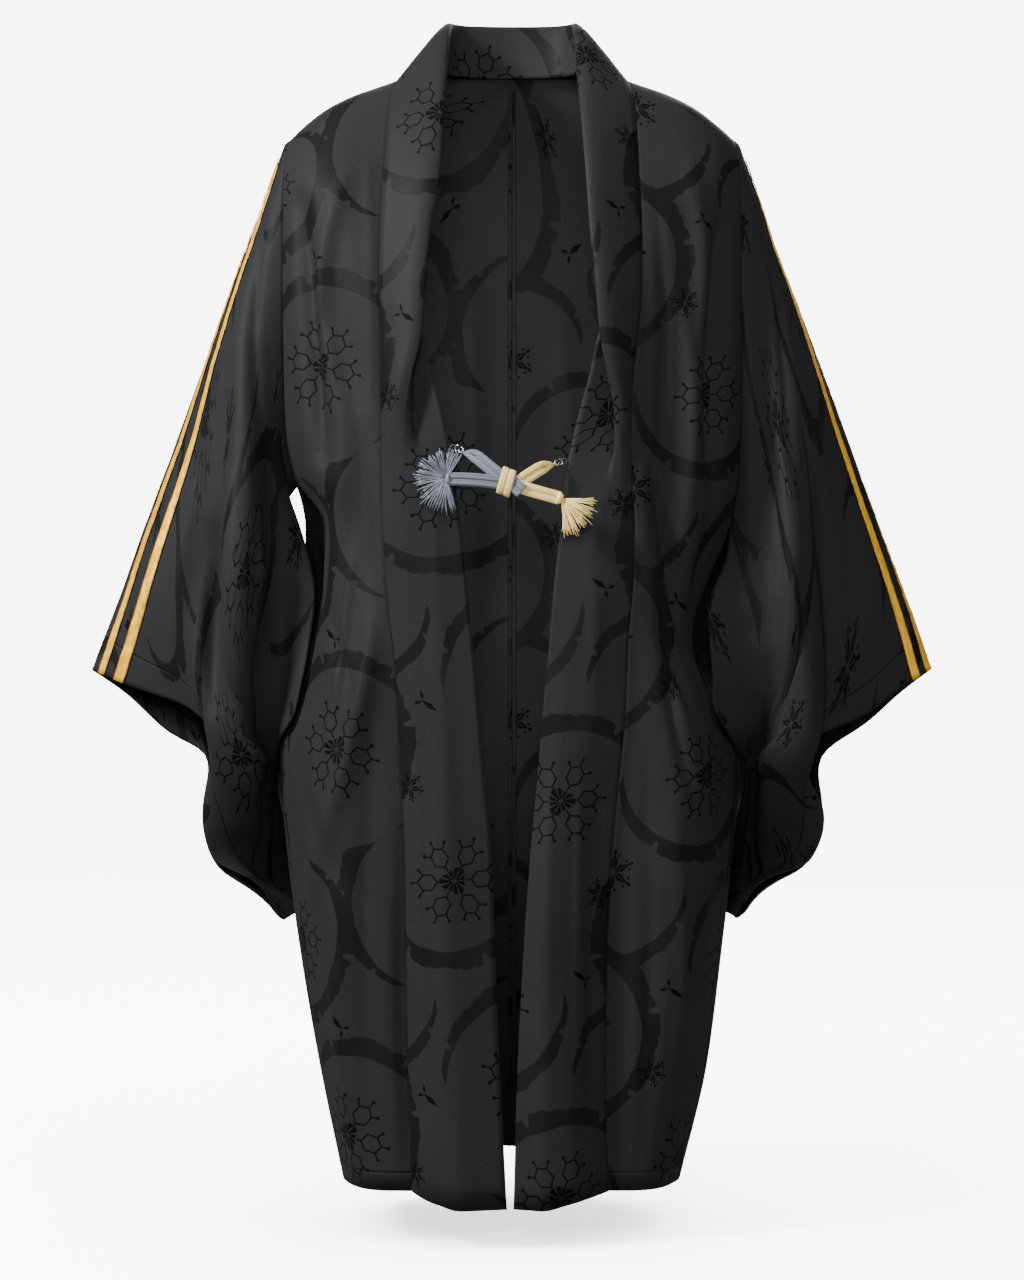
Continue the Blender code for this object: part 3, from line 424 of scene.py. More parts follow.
def sleeve_base(side, steps, free, edge):
    """A sleeve's points, sections by points around, from the armhole to the cuff."""
    places, top = sleeve_places(SLEEVE[0], edge, free)
    sections = [*SLEEVE, CUFF_RIGHT if side < 0 else CUFF_LEFT]
    rings = np.array([ring_through(section, places) for section in sections])
    way = np.linspace(0, 1, steps)
    grid = np.stack([curve_through(rings[:, j], way) for j in range(len(places))], axis=1)
    # The sewn part starts at the body's edge, and that shift fades out along the sleeve.
    first = grid[0].copy()
    first[: top + 1] = edge[: top + 1][::-1]
    first[len(first) - (len(edge) - top - 1) :] = edge[top + 1 :][::-1]
    first[:, 0] += ARMHOLE_SEAM
    fade = np.clip(1 - way * 3, 0, 1) ** 2
    grid = (grid + (first - grid[0])[None] * fade[:, None, None]) * (side, 1, 1)
    return grid, way


def outward_round(grid):
    """Normals of a tube of points, pointing out of it."""
    outward = normals_of(grid, around=True)
    middle = grid.mean(axis=1, keepdims=True)
    return outward if ((grid - middle) * outward).sum() > 0 else -outward


def point_around(section, outward, offset, out, count):
    """A point at a distance around a section from its top fold, moved outwards."""
    ahead = offset > 0
    points = section if ahead else np.roll(section[::-1], 1, axis=0)
    normals = outward if ahead else np.roll(outward[::-1], 1, axis=0)
    lengths = np.concatenate(([0.0], np.cumsum(np.linalg.norm(np.diff(points[:count], axis=0), axis=1))))
    point = [np.interp(abs(offset), lengths, points[:count, i]) for i in range(3)]
    normal = np.array([np.interp(abs(offset), lengths, normals[:count, i]) for i in range(3)])
    return np.array(point) + out * normal / np.linalg.norm(normal)


def ring_points(centre, radius, way_a, way_b, count=14):
    turns = np.arange(count) * 2 * math.pi / count
    return [
        np.array(centre) + radius * (math.cos(turn) * np.array(way_a) + math.sin(turn) * np.array(way_b))
        for turn in turns
    ]


# Finer folds and creases, in the same columns as the larger ones.
BODY_CREASES = (
    (-1, -1, 0.190, -0.12, 0.180, -0.24, 0.170, -0.35, 0.009, -0.0100),
    (-1, -1, 0.113, -0.47, 0.138, -0.59, 0.180, -0.74, 0.012, 0.0070),
    (-1, -1, 0.165, -0.25, 0.148, -0.32, 0.160, -0.44, 0.011, 0.0060),
    (1, -1, 0.190, -0.14, 0.182, -0.26, 0.184, -0.38, 0.010, -0.0120),
    (1, -1, 0.126, -0.39, 0.148, -0.46, 0.166, -0.52, 0.010, -0.0080),
    (1, -1, 0.150, -0.56, 0.165, -0.70, 0.160, -0.86, 0.016, 0.0060),
    (-1, -1, 0.140, -0.44, 0.160, -0.60, 0.178, -0.74, 0.004, 0.0030),
    (1, -1, 0.186, -0.14, 0.178, -0.26, 0.180, -0.38, 0.006, -0.0060),
    (1, -1, 0.150, -0.20, 0.160, -0.30, 0.158, -0.40, 0.007, 0.0036),
    (1, -1, 0.130, -0.50, 0.150, -0.62, 0.172, -0.70, 0.005, -0.0045),
    (1, -1, 0.150, -0.46, 0.166, -0.56, 0.180, -0.64, 0.005, 0.0038),
    (-1, -1, 0.128, -0.09, 0.122, -0.20, 0.124, -0.34, 0.006, 0.0030),
    (-1, -1, 0.150, -0.10, 0.166, -0.16, 0.178, -0.25, 0.008, 0.0041),
    (-1, -1, 0.130, -0.33, 0.126, -0.42, 0.118, -0.50, 0.007, -0.0041),
    (-1, -1, 0.120, -0.60, 0.130, -0.78, 0.126, -0.96, 0.010, -0.0041),
    (-1, -1, 0.100, -0.62, 0.106, -0.80, 0.100, -0.97, 0.007, 0.0030),
    (-1, -1, 0.150, -0.70, 0.154, -0.84, 0.140, -0.97, 0.009, 0.0041),
    (-1, -1, 0.178, -0.44, 0.160, -0.50, 0.140, -0.56, 0.006, -0.0034),
    (-1, -1, 0.120, -0.50, 0.145, -0.62, 0.182, -0.75, 0.004, 0.0032),
    (-1, -1, 0.196, -0.60, 0.168, -0.69, 0.130, -0.74, 0.006, -0.0030),
    (1, -1, 0.128, -0.12, 0.134, -0.22, 0.130, -0.34, 0.006, -0.0030),
    (1, -1, 0.160, -0.09, 0.172, -0.18, 0.176, -0.30, 0.008, 0.0041),
    (1, -1, 0.122, -0.36, 0.136, -0.44, 0.158, -0.54, 0.005, -0.0061),
    (1, -1, 0.118, -0.475, 0.136, -0.52, 0.157, -0.575, 0.005, -0.0081),
    (1, -1, 0.178, -0.40, 0.166, -0.47, 0.176, -0.56, 0.006, -0.0068),
    (1, -1, 0.112, -0.42, 0.128, -0.50, 0.150, -0.58, 0.006, 0.0047),
    (1, -1, 0.118, -0.62, 0.122, -0.80, 0.116, -0.97, 0.010, -0.0038),
    (1, -1, 0.142, -0.66, 0.150, -0.82, 0.138, -0.97, 0.007, 0.0035),
    (-1, 1, 0.040, -0.16, 0.036, -0.36, 0.040, -0.56, 0.014, 0.0041),
    (-1, 1, 0.110, -0.18, 0.100, -0.34, 0.096, -0.50, 0.012, -0.0047),
    (-1, 1, 0.150, -0.56, 0.140, -0.74, 0.120, -0.96, 0.014, -0.0061),
    (-1, 1, 0.030, -0.60, 0.034, -0.80, 0.030, -0.98, 0.012, -0.0041),
    (1, 1, 0.050, -0.20, 0.056, -0.38, 0.050, -0.58, 0.013, -0.0041),
    (1, 1, 0.120, -0.30, 0.108, -0.48, 0.110, -0.66, 0.012, 0.0041),
    (1, 1, 0.150, -0.60, 0.138, -0.80, 0.120, -0.97, 0.014, 0.0054),
    (1, 1, 0.036, -0.62, 0.030, -0.80, 0.036, -0.98, 0.011, 0.0035),
)
SLEEVE_CREASES = (
    (-1, -1, 0.226, -0.14, 0.232, -0.22, 0.228, -0.32, 0.005, -0.0039),
    (-1, -1, 0.252, -0.30, 0.262, -0.38, 0.268, -0.46, 0.006, -0.0046),
    (-1, -1, 0.290, -0.38, 0.302, -0.46, 0.310, -0.54, 0.007, 0.0026),
    (-1, -1, 0.276, -0.44, 0.284, -0.52, 0.282, -0.60, 0.005, 0.0039),
    (-1, -1, 0.230, -0.52, 0.236, -0.60, 0.234, -0.70, 0.006, -0.0046),
    (1, -1, 0.236, -0.13, 0.244, -0.24, 0.250, -0.36, 0.005, -0.0036),
    (1, -1, 0.262, -0.26, 0.280, -0.36, 0.296, -0.46, 0.008, 0.0026),
    (1, -1, 0.228, -0.30, 0.240, -0.42, 0.246, -0.54, 0.006, -0.0052),
    (1, -1, 0.272, -0.42, 0.284, -0.50, 0.282, -0.60, 0.006, -0.0039),
    (1, -1, 0.240, -0.52, 0.244, -0.62, 0.240, -0.72, 0.006, 0.0039),
    (-1, 1, 0.222, -0.18, 0.232, -0.32, 0.232, -0.46, 0.008, -0.0052),
    (-1, 1, 0.256, -0.26, 0.268, -0.40, 0.276, -0.52, 0.008, 0.0046),
    (1, 1, 0.226, -0.18, 0.236, -0.32, 0.238, -0.48, 0.008, -0.0052),
    (1, 1, 0.262, -0.28, 0.276, -0.40, 0.286, -0.52, 0.008, 0.0039),
)
COLLAR_CREASES = (
    (-1, -1, 0.072, -0.42, 0.062, -0.60, 0.060, -0.80, 0.008, 0.0016),
    (-1, -1, 0.078, -0.62, 0.072, -0.76, 0.074, -0.92, 0.006, -0.0016),
    (1, -1, 0.075, -0.66, 0.070, -0.80, 0.066, -0.96, 0.006, -0.0026),
    (1, -1, 0.060, -0.64, 0.058, -0.78, 0.060, -0.92, 0.005, 0.0022),
    (1, -1, 0.066, -0.40, 0.072, -0.50, 0.070, -0.60, 0.007, 0.0016),
)


# Where a sleeve's inner edge starts to hang beside the body and over what height, and its distance.
HANG = {-1: (-0.36, 0.13), 1: (-0.42, 0.05)}
SLEEVE_GAP = 0.0036


# Grids at the scene's own fineness
def finer(grid, times):
    """The grid with this many rows for each of its own, on lines that never swing past its points."""
    count = len(grid)
    flat = grid.reshape(count, -1)
    gaps = np.linalg.norm(np.diff(flat, axis=0), axis=1)[:, None]
    slopes = np.diff(flat, axis=0) / gaps
    before, after = slopes[:-1], slopes[1:]
    product = before * after
    total = np.where(product > 0, before + after, 1.0)
    tangents = np.zeros_like(flat)
    tangents[1:-1] = np.where(product > 0, 2 * product / total, 0.0)
    tangents[0], tangents[-1] = slopes[0], slopes[-1]
    places = np.arange((count - 1) * times + 1) / times
    i = np.minimum(places.astype(int), count - 2)
    t = (places - i)[:, None]
    h = gaps[i]
    lines = (
        (2 * t**3 - 3 * t**2 + 1) * flat[i]
        + (t**3 - 2 * t**2 + t) * h * tangents[i]
        + (3 * t**2 - 2 * t**3) * flat[i + 1]
        + (t**3 - t**2) * h * tangents[i + 1]
    )
    return lines.reshape(len(places), *grid.shape[1:])


def finer_both(grid, down, across):
    return finer(finer(grid, down).transpose(1, 0, 2), across).transpose(1, 0, 2)


def unevenness(grid, amount, seed):
    """A soft, irregular lift of a few tenths of a millimetre, as cloth has between its folds."""
    lift = np.zeros(grid.shape[:2])
    for i, row in enumerate(grid):
        for j, (x, y, z) in enumerate(row):
            broad = noise.noise(Vector((x * 14 + seed, y * 14, z * 9)))
            fine = noise.noise(Vector((x * 46, y * 46 + seed, z * 34)))
            lift[i, j] = amount * (broad + 0.35 * fine)
    return lift


def lengths_along(grid, axis):
    steps = np.linalg.norm(np.diff(grid, axis=axis), axis=2)
    total = np.cumsum(steps, axis=axis)
    zero = np.zeros_like(total[:1] if axis == 0 else total[:, :1])
    return np.concatenate((zero, total), axis=axis)


def tucked(grid, outward, at_end=False, share=None):
    """The grid with two more columns at one edge, turned in behind the cloth that is sewn to it."""
    if at_end:
        return tucked(grid[:, ::-1], outward[:, ::-1], share=share)[:, ::-1]
    edge = grid[:, 0]
    away = edge - grid[:, 1]
    away /= np.maximum(np.linalg.norm(away, axis=1, keepdims=True), 1e-9)
    share = np.ones((len(edge), 1)) if share is None else share[:, None]
    near = edge + (away * 0.0012 - outward[:, 0] * 0.0008) * share
    far = edge + (away * 0.0040 - outward[:, 0] * 0.0021) * share
    return np.concatenate((far[:, None], near[:, None], grid), axis=1)


FINE_BODY = {}


def fine_body(side):
    """A panel with all its folds, and its edge at the armhole."""
    if side not in FINE_BODY:
        grid = finer_both(body_grid(side, PANEL_COLUMNS), 6, 5)
        outward = normals_of(grid) * -side
        places = np.linspace(0, 1, grid.shape[1])
        hold = np.sin(math.pi * np.clip(places * 2.2, 0, 0.5))
        hold = hold * np.sin(math.pi * np.clip((1 - places) * 2.6, 0, 0.5))
        folded = add_folds(add_folds(grid, outward, BODY_FOLDS, side), -outward, BODY_CREASES, side)
        grid = grid + (folded - grid) * hold[None, :, None]
        grid = grid + outward * (unevenness(grid, 0.0011, 3.0 + side) * hold[None, :])[..., None]
        FINE_BODY[side] = grid
    return FINE_BODY[side]


def fine_sleeve(side):
    grid, way = sleeve_base(side, 112, 60, fine_edge(side))
    outward = outward_round(grid)
    folded = add_folds(grid, outward, SLEEVE_FOLDS + SLEEVE_CREASES, side)
    rise = np.clip(way * 5, 0, 1)[:, None]
    grid = grid + (folded - grid) * rise[..., None]
    return close_to_body(grid + outward * (unevenness(grid, 0.0011, 7.0 + side) * rise)[..., None], side)


def close_to_body(grid, side):
    """The sleeve's inner edge below the underarm, hanging just beside the body."""
    body = np.concatenate([fine_body(side).reshape(-1, 3), fine_gusset(side).reshape(-1, 3)])
    body = body[(body[:, 0] * side > 0.13) & (body[:, 2] < -0.40) & (body[:, 2] > -0.82)]
    reach = np.abs(body[:, 0])
    excess = np.full(grid.shape[:2], 1.0)
    for i, j in zip(*np.nonzero((grid[..., 2] < HANG[side][0]) & (grid[..., 0] * side < 0.29))):
        x, y, z = grid[i, j]
        near = np.hypot(body[:, 1] - y, body[:, 2] - z) < 0.010
        if near.any():
            gap = SLEEVE_GAP - 0.0045 * math.exp(-(((z + 0.605) / 0.03) ** 2))
            excess[i, j] = abs(x) - reach[near].max() - gap
    places = np.argwhere(excess < 0.06)
    spots = grid[excess < 0.06]
    shift = np.zeros(grid.shape[:2])
    for (i, j), (x, y, z) in zip(places, spots):
        close = np.hypot(spots[:, 1] - y, (spots[:, 2] - z) * 2) < 0.020
        least = excess[places[close, 0], places[close, 1]].min()
        share = np.clip((excess[i, j] - least) / 0.040, 0, 1)
        begin = np.clip((HANG[side][0] - z) / HANG[side][1], 0, 1)
        most = 0.017 + 0.020 * np.clip((-0.555 - z) / 0.04, 0, 1)
        fade = 1 - share * share * (3 - 2 * share)
        shift[i, j] = np.clip(least, 0, most) * fade * begin * begin * (3 - 2 * begin)
    for _ in range(4):
        around = (np.roll(shift, 1, axis=1) + np.roll(shift, -1, axis=1)) / 2
        along = (np.concatenate((shift[:1], shift[:-1])) + np.concatenate((shift[1:], shift[-1:]))) / 2
        shift = shift * 0.4 + around * 0.3 + along * 0.3
    return grid - np.stack((shift * side, shift * 0, shift * 0), axis=-1)


def fine_gusset(side):
    return finer_both(gusset_grid(side, GUSSET_COLUMNS), 6, 4)


def fine_edge(side):
    edge = finer(body_grid(side, PANEL_COLUMNS), 6)[:, -1] * (side, 1, 1)
    return edge[edge[:, 2] >= UNDERARM_Z[side] - 1e-6]


def fine_collar():
    grid = finer_both(band_grid(), 5, 4)
    outward = normals_of(grid)
    if (outward[: len(grid) // 4, 4:12, 1]).mean() > 0:
        outward = -outward
    for side in (-1, 1):
        on_side = (grid[..., 0] * side > 0)[..., None]
        grid = np.where(on_side, add_folds(grid, outward, COLLAR_CREASES, side), grid)
    columns = grid.shape[1]
    inner = np.clip(np.arange(columns) / 4, 0, 1)
    return grid + outward * (unevenness(grid, 0.0006, 11.0) * inner)[..., None]


# Pieces
def cloth_piece(name, grid, nodes, around=False, thickness=CLOTH, shift=(0, 0),
                hem=None, look="silk", flip=1):
    """A shell of cloth on a grid of points, with its lengths along the cloth as texture coordinates."""
    rows, columns = grid.shape[:2]
    along = lengths_along(grid, 0).mean(axis=1)
    ring = np.concatenate((grid, grid[:, :1]), axis=1) if around else grid
    across = lengths_along(ring, 1)
    down = lengths_along(ring, 0) if around else np.repeat(along[:, None], columns, axis=1)
    name = name + "_cloth"
    mesh = bpy.data.meshes.new(name)
    faces = []
    corners = []
    for i in range(rows - 1):
        for j in range(columns if around else columns - 1):
            k = (j + 1) % columns
            faces.append((i * columns + j, i * columns + k, (i + 1) * columns + k, (i + 1) * columns + j))
            corners += [(i, j), (i, j + 1), (i + 1, j + 1), (i + 1, j)]
    mesh.from_pydata([tuple(p) for p in grid.reshape(-1, 3)], [], faces)
    layer = mesh.uv_layers.new(name="cloth")
    flat = []
    for n, (i, j) in enumerate(corners):
        first_column = corners[n - n % 4][1]
        whole = across[i, -1] if around and first_column >= columns / 2 else 0.0
        flat.append(((across[i, j] - whole) * flip + shift[0], down[i, j] + shift[1]))
    layer.data.foreach_set("uv", np.array(flat, np.float32).ravel())
    far = np.full((rows, columns), 1.0, np.float32)
    if hem is not None:
        far = hem(grid, along).astype(np.float32)
    attribute = mesh.attributes.new("hem", "FLOAT", "POINT")
    attribute.data.foreach_set("value", far.ravel())
    mesh.shade_smooth()
    piece = bpy.data.objects.new(name, mesh)
    bpy.context.scene.collection.objects.link(piece)
    builder = bmesh.new()
    builder.from_mesh(mesh)
    bmesh.ops.recalc_face_normals(builder, faces=builder.faces)
    builder.to_mesh(mesh)
    builder.free()
    mesh.shade_smooth()
    wall = piece.modifiers.new("wall", "SOLIDIFY")
    wall.thickness = thickness
    wall.offset = 0
    mesh.materials.append(MATERIALS[look])
    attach(piece, "root")
    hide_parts(*nodes)
    return piece


def cut_of(grid, around=False):
    """The flat size of a panel: its greatest width and length, and its own area."""
    ring = np.concatenate((grid, grid[:, :1]), axis=1) if around else grid
    widths = lengths_along(ring, 1)[:, -1]
    length = float(lengths_along(grid, 0)[-1].mean())
    a, b, c, d = ring[:-1, :-1], ring[1:, :-1], ring[1:, 1:], ring[:-1, 1:]
    area = float(np.linalg.norm(np.cross(c - a, d - b), axis=2).sum() / 2)
    width = float(widths.max())
    area = min(area, width * length)
    return (round(width, 3), round(length, 3)), round(max(area, 0.31 * width * length), 4)


class Field:
    """A number that varies over a surface. Arithmetic on it adds Math nodes to its material."""

    def __init__(self, tree, socket):
        self.tree = tree
        self.socket = socket

    def math(self, operation, *others, clamp=False):
        node = self.tree.nodes.new("ShaderNodeMath")
        node.operation = operation
        node.use_clamp = clamp
        for socket, value in zip(node.inputs, (self, *others)):
            if isinstance(value, Field):
                self.tree.links.new(value.socket, socket)
            else:
                socket.default_value = value
        return Field(self.tree, node.outputs[0])

    def __add__(self, other):
        return self.math("ADD", other)

    def __sub__(self, other):
        return self.math("SUBTRACT", other)

    def __mul__(self, other):
        return self.math("MULTIPLY", other)

    def __truediv__(self, other):
        return self.math("DIVIDE", other)

    def size(self):
        return self.math("ABSOLUTE")

    def most(self, other):
        return self.math("MAXIMUM", other)

    def least(self, other):
        return self.math("MINIMUM", other)

    def within(self, limit, soft=0.0003):
        """1 where the value is below the limit, 0 above it, with a soft edge."""
        node = self.tree.nodes.new("ShaderNodeMapRange")
        node.inputs["From Min"].default_value = limit - soft
        node.inputs["From Max"].default_value = limit + soft
        node.inputs["To Min"].default_value = 1.0
        node.inputs["To Max"].default_value = 0.0
        self.tree.links.new(self.socket, node.inputs["Value"])
        return Field(self.tree, node.outputs["Result"])

    def beyond(self, limit, soft=0.0003):
        return (self.within(limit, soft) * -1.0) + 1.0


def texture_noise(tree, vector, scale, detail=2.0, stretch=(1, 1, 1)):
    mapping = tree.nodes.new("ShaderNodeMapping")
    mapping.inputs["Scale"].default_value = stretch
    tree.links.new(vector, mapping.inputs["Vector"])
    node = tree.nodes.new("ShaderNodeTexNoise")
    node.inputs["Scale"].default_value = scale
    node.inputs["Detail"].default_value = detail
    tree.links.new(mapping.outputs["Vector"], node.inputs["Vector"])
    return Field(tree, node.outputs["Fac"])


# The damask's repeat, in metres of cloth, and its motifs: centre, turn and size.
REPEAT = (0.360, 0.345)
ARCS = (
    (0.030, 0.085, 2.3, 0.078), (0.150, 0.300, 4.1, 0.066), (0.225, 0.060, 5.3, 0.074), (0.305, 0.215, 1.1, 0.080),
    (0.105, 0.165, 0.4, 0.076),
)
ARC_THICKNESS = 0.0165
MEDALLIONS = ((0.110, 0.160, 0.20, 1.0), (0.300, 0.222, 0.75, 1.0), (0.232, 0.048, 0.45, 0.94))
BLOSSOMS = ((0.028, 0.082, 0.3, 0.95), (0.190, 0.130, 0.8, 0.55), (0.150, 0.308, 0.1, 0.8))
SPRIGS = ((0.205, 0.205, 0.6, 1.1), (0.028, 0.245, 2.2, 1.0), (0.300, 0.320, 3.9, 1.1), (0.140, 0.050, 5.1, 1.0))


def local_place(u, v, motif):
    """The place around a motif's centre in the nearest repeat."""
    x = (u - (motif[0] - REPEAT[0] / 2)).math("WRAP", REPEAT[0], 0.0) - REPEAT[0] / 2
    y = (v - (motif[1] - REPEAT[1] / 2)).math("WRAP", REPEAT[1], 0.0) - REPEAT[1] / 2
    return x, y


def nearest_place(u, v, motifs):
    """The place around the nearest of several motifs, turned and scaled with it."""
    best = None
    for motif in motifs:
        x, y = local_place(u, v, motif)
        away = (x * x + y * y).math("SQRT") / motif[3]
        turn = y.math("ARCTAN2", x) + (motif[2] + math.pi)
        if best is None:
            best = (away, turn)
            continue
        closer = (away - best[0]).within(0.0, 1e-5)
        best = (
            away * closer + best[0] * (closer * -1.0 + 1.0),
            turn * closer + best[1] * (closer * -1.0 + 1.0),
        )
    return best


def sector(turn, count):
    """The angle from the middle of the nearest of several equal sectors."""
    width = 2 * math.pi / count
    return turn.math("WRAP", width, 0.0) - width / 2


def arc_field(u, v, motif):
    """A crescent with a scalloped outer edge: the crescent itself, its outline and its whole disc."""
    x, y = local_place(u, v, motif)
    away = (x * x + y * y).math("SQRT")
    c, s = math.cos(motif[2]), math.sin(motif[2])
    turn = (y * c - x * s).math("ARCTAN2", x * c + y * s)
    full = (turn * 0.78).math("COSINE").most(0.0).math("POWER", 0.6)
    lobes = (turn * 5.5).math("SINE").size()
    small = (turn * 21.0).math("SINE").size().math("POWER", 0.5)
    notch = (turn * 3.5 + 0.6).math("SINE").size().within(0.10, 0.03)
    outer = full * (lobes * 0.22 + 0.74) * ARC_THICKNESS + small * full * 0.0021 - notch * full * 0.0085 + motif[3]
    inner = away.beyond(motif[3], 0.0004)
    outside = (away - outer).beyond(0.0, 0.0004)
    band = inner * ((outside * -1.0) + 1.0)
    line = (away - outer).size().within(0.00035, 0.0004) * full.beyond(0.05, 0.02)
    line = line.most((away - motif[3]).size().within(0.0003, 0.0003) * full.beyond(0.05, 0.02))
    return band, line, (outside * -1.0) + 1.0


def medallion_field(away, turn):
    """A floret of narrow petals inside six long hexagons, each with three dotted stalks."""
    petals = (turn * 5.5 + away * 60.0).math("COSINE").size()
    reach = (turn * 3.0).math("SINE") * 0.0022 + 0.0118
    floret = petals.beyond(0.42, 0.14) * (away - reach).within(0.0, 0.0006) * away.beyond(0.0020, 0.0006)
    angle = sector(turn, 6)
    x = away * angle.math("COSINE")
    y = (away * angle.math("SINE")).size()
    off = (x - 0.0262).size()
    hexagon = (y * 1.40).most(y * 0.72 + off)
    outline = (hexagon - 0.0100).size().within(0.00095, 0.00045)
    stalk = y.within(0.00070, 0.0004) * x.beyond(0.0105) * x.within(0.0165)
    straight = y.within(0.00070, 0.0004) * x.beyond(0.0358) * x.within(0.0425)
    ax, ay = x - 0.0308, y - 0.0071
    reach = (ax * 0.64 + ay * 0.768).most(0.0).least(0.0064)
    px, py = ax - reach * 0.64, ay - reach * 0.768
    slanted = (px * px + py * py).math("SQRT").within(0.00075, 0.0004)
    dx = x - 0.0428
    dot_a = (dx * dx + y * y).math("SQRT").within(0.0016, 0.0004)
    ex, ey = x - 0.0350, y - 0.0121
    dot_b = (ex * ex + ey * ey).math("SQRT").within(0.0016, 0.0004)
    return floret.most(outline).most(stalk).most(straight).most(slanted).most(dot_a).most(dot_b)


def blossom_field(away, turn):
    """A six-petalled star blossom with three small tips on each petal."""
    angle = sector(turn, 6)
    x = away * angle.math("COSINE")
    y = (away * angle.math("SINE")).size()
    petal = y + (x - 0.0105).size() * 0.42
    leaf = petal.within(0.0044, 0.0005) * x.beyond(0.0030)
    vein = y.within(0.00045, 0.0003) * x.within(0.0150)
    tip = ((x - 0.0225) * (x - 0.0225) * 0.35 + y * y).math("SQRT").within(0.0018, 0.0004)
    ex, ey = x - 0.0190, y - 0.0052
    side = (ex * ex + ey * ey).math("SQRT").within(0.0016, 0.0004)
    return (leaf - vein).most(tip).most(side)


def sprig_field(away, turn):
    """A leaf with three small ones at its tip."""
    x = away * turn.math("COSINE")
    y = away * turn.math("SINE")
    leaf = (y.size() + (x + 0.006).size() * 0.30).within(0.0024, 0.0003) * x.within(0.002)
    angle = sector(turn, 4)
    a = away * angle.math("COSINE")
    b = (away * angle.math("SINE")).size()
    small = (b + (a - 0.0048).size() * 0.42).within(0.0015, 0.0003) * x.beyond(0.0)
    return leaf.most(small)


def damask(u, v):
    """How strongly each point belongs to a crescent, to a motif's dark figure, and to a crescent's outline."""
    body = None
    lines = None
    for motif in ARCS:
        band, line, disc = arc_field(u, v, motif)
        if body is None:
            body, lines = band, line
            continue
        left = (disc * -1.0) + 1.0
        body = band.most(body * left)
        lines = line.most(lines * left)
    figures = medallion_field(*nearest_place(u, v, MEDALLIONS))
    figures = figures.most(blossom_field(*nearest_place(u, v, BLOSSOMS)))
    figures = figures.most(sprig_field(*nearest_place(u, v, SPRIGS)))
    return body, figures, lines


def principled(name, slot_colour=(0.8, 0.8, 0.8)):
    made = bpy.data.materials.new(name)
    made.use_nodes = True
    made.diffuse_color = (*slot_colour, 1)
    tree = made.node_tree
    return made, tree, tree.nodes["Principled BSDF"]


def mix_colour(tree, share, low, high):
    node = tree.nodes.new("ShaderNodeMix")
    node.data_type = "RGBA"
    tree.links.new(share.socket, node.inputs["Factor"])
    for socket, colour in ((node.inputs[6], low), (node.inputs[7], high)):
        if isinstance(colour, tuple):
            socket.default_value = (*colour, 1)
        else:
            tree.links.new(colour, socket)
    return node.outputs[2]


def bump(tree, shader, height, strength, distance):
    node = tree.nodes.new("ShaderNodeBump")
    node.inputs["Strength"].default_value = strength
    node.inputs["Distance"].default_value = distance
    tree.links.new(height.socket, node.inputs["Height"])
    tree.links.new(node.outputs["Normal"], shader.inputs["Normal"])


def cloth_place(tree):
    """The place on the flat cloth: the texture coordinates and both lengths."""
    place = tree.nodes.new("ShaderNodeUVMap")
    place.uv_map = "cloth"
    split = tree.nodes.new("ShaderNodeSeparateXYZ")
    tree.links.new(place.outputs["UV"], split.inputs["Vector"])
    return place.outputs["UV"], Field(tree, split.outputs["X"]), Field(tree, split.outputs["Y"])


def hem_distance(tree):
    node = tree.nodes.new("ShaderNodeAttribute")
    node.attribute_name = "hem"
    return Field(tree, node.outputs["Fac"])


def silk_material():
    made, tree, shader = principled("silk", (0.03, 0.031, 0.034))
    uv, u, v = cloth_place(tree)
    bend = texture_noise(tree, uv, 45.0, 1.0)
    wobble = (bend - 0.5) * 0.0024
    body, figures, lines = damask(u + wobble, v - wobble)
    mottle = texture_noise(tree, uv, 420.0, 3.0)
    stipple = texture_noise(tree, uv, 900.0, 2.0)
    fibre = texture_noise(tree, uv, 700.0, 2.0, (1, 0.22, 1))
    broad = texture_noise(tree, uv, 9.0, 2.0)
    crepe = texture_noise(tree, uv, 190.0, 2.0)
    ground = mix_colour(tree, (mottle * 0.6 + broad * 0.4 - 0.22) * 1.6, SILK_DARK, SILK_LIGHT)
    shade = texture_noise(tree, uv, 22.0, 1.0)
    band = mix_colour(tree, stipple * 1.3 + shade * 0.9 - 0.75, BAND_DARK, BAND_LIGHT)
    colour = mix_colour(tree, body, ground, band)
    dark = figures.most(lines * 0.30)
    colour = mix_colour(tree, dark * 0.95, colour, LINE_COLOUR)
    # A groove along the hem's turned edge, pressed in by the bump, with painted shade: the colour is darkened along
    # it.
    shaded_groove = (hem_distance(tree) - 0.0165).size().within(0.0008, 0.0007)
    colour = mix_colour(tree, shaded_groove * 0.5, colour, LINE_COLOUR)
    tree.links.new(colour, shader.inputs["Base Color"])
    rough = body * -0.06 + dark * 0.10 + (mottle * 0.10) + 0.52
    tree.links.new(rough.socket, shader.inputs["Roughness"])
    shader.inputs["Sheen Weight"].default_value = 0.01
    shader.inputs["Sheen Roughness"].default_value = 0.45
    shader.inputs["Specular IOR Level"].default_value = 0.045
    ridge = (crepe - 0.5).size()
    height = fibre * 0.5 + mottle * 0.5 - ridge * 0.8 - body * 0.25 - dark * 0.5 - shaded_groove * 3.0
    bump(tree, shader, height, 0.50, 0.00040)
    return made


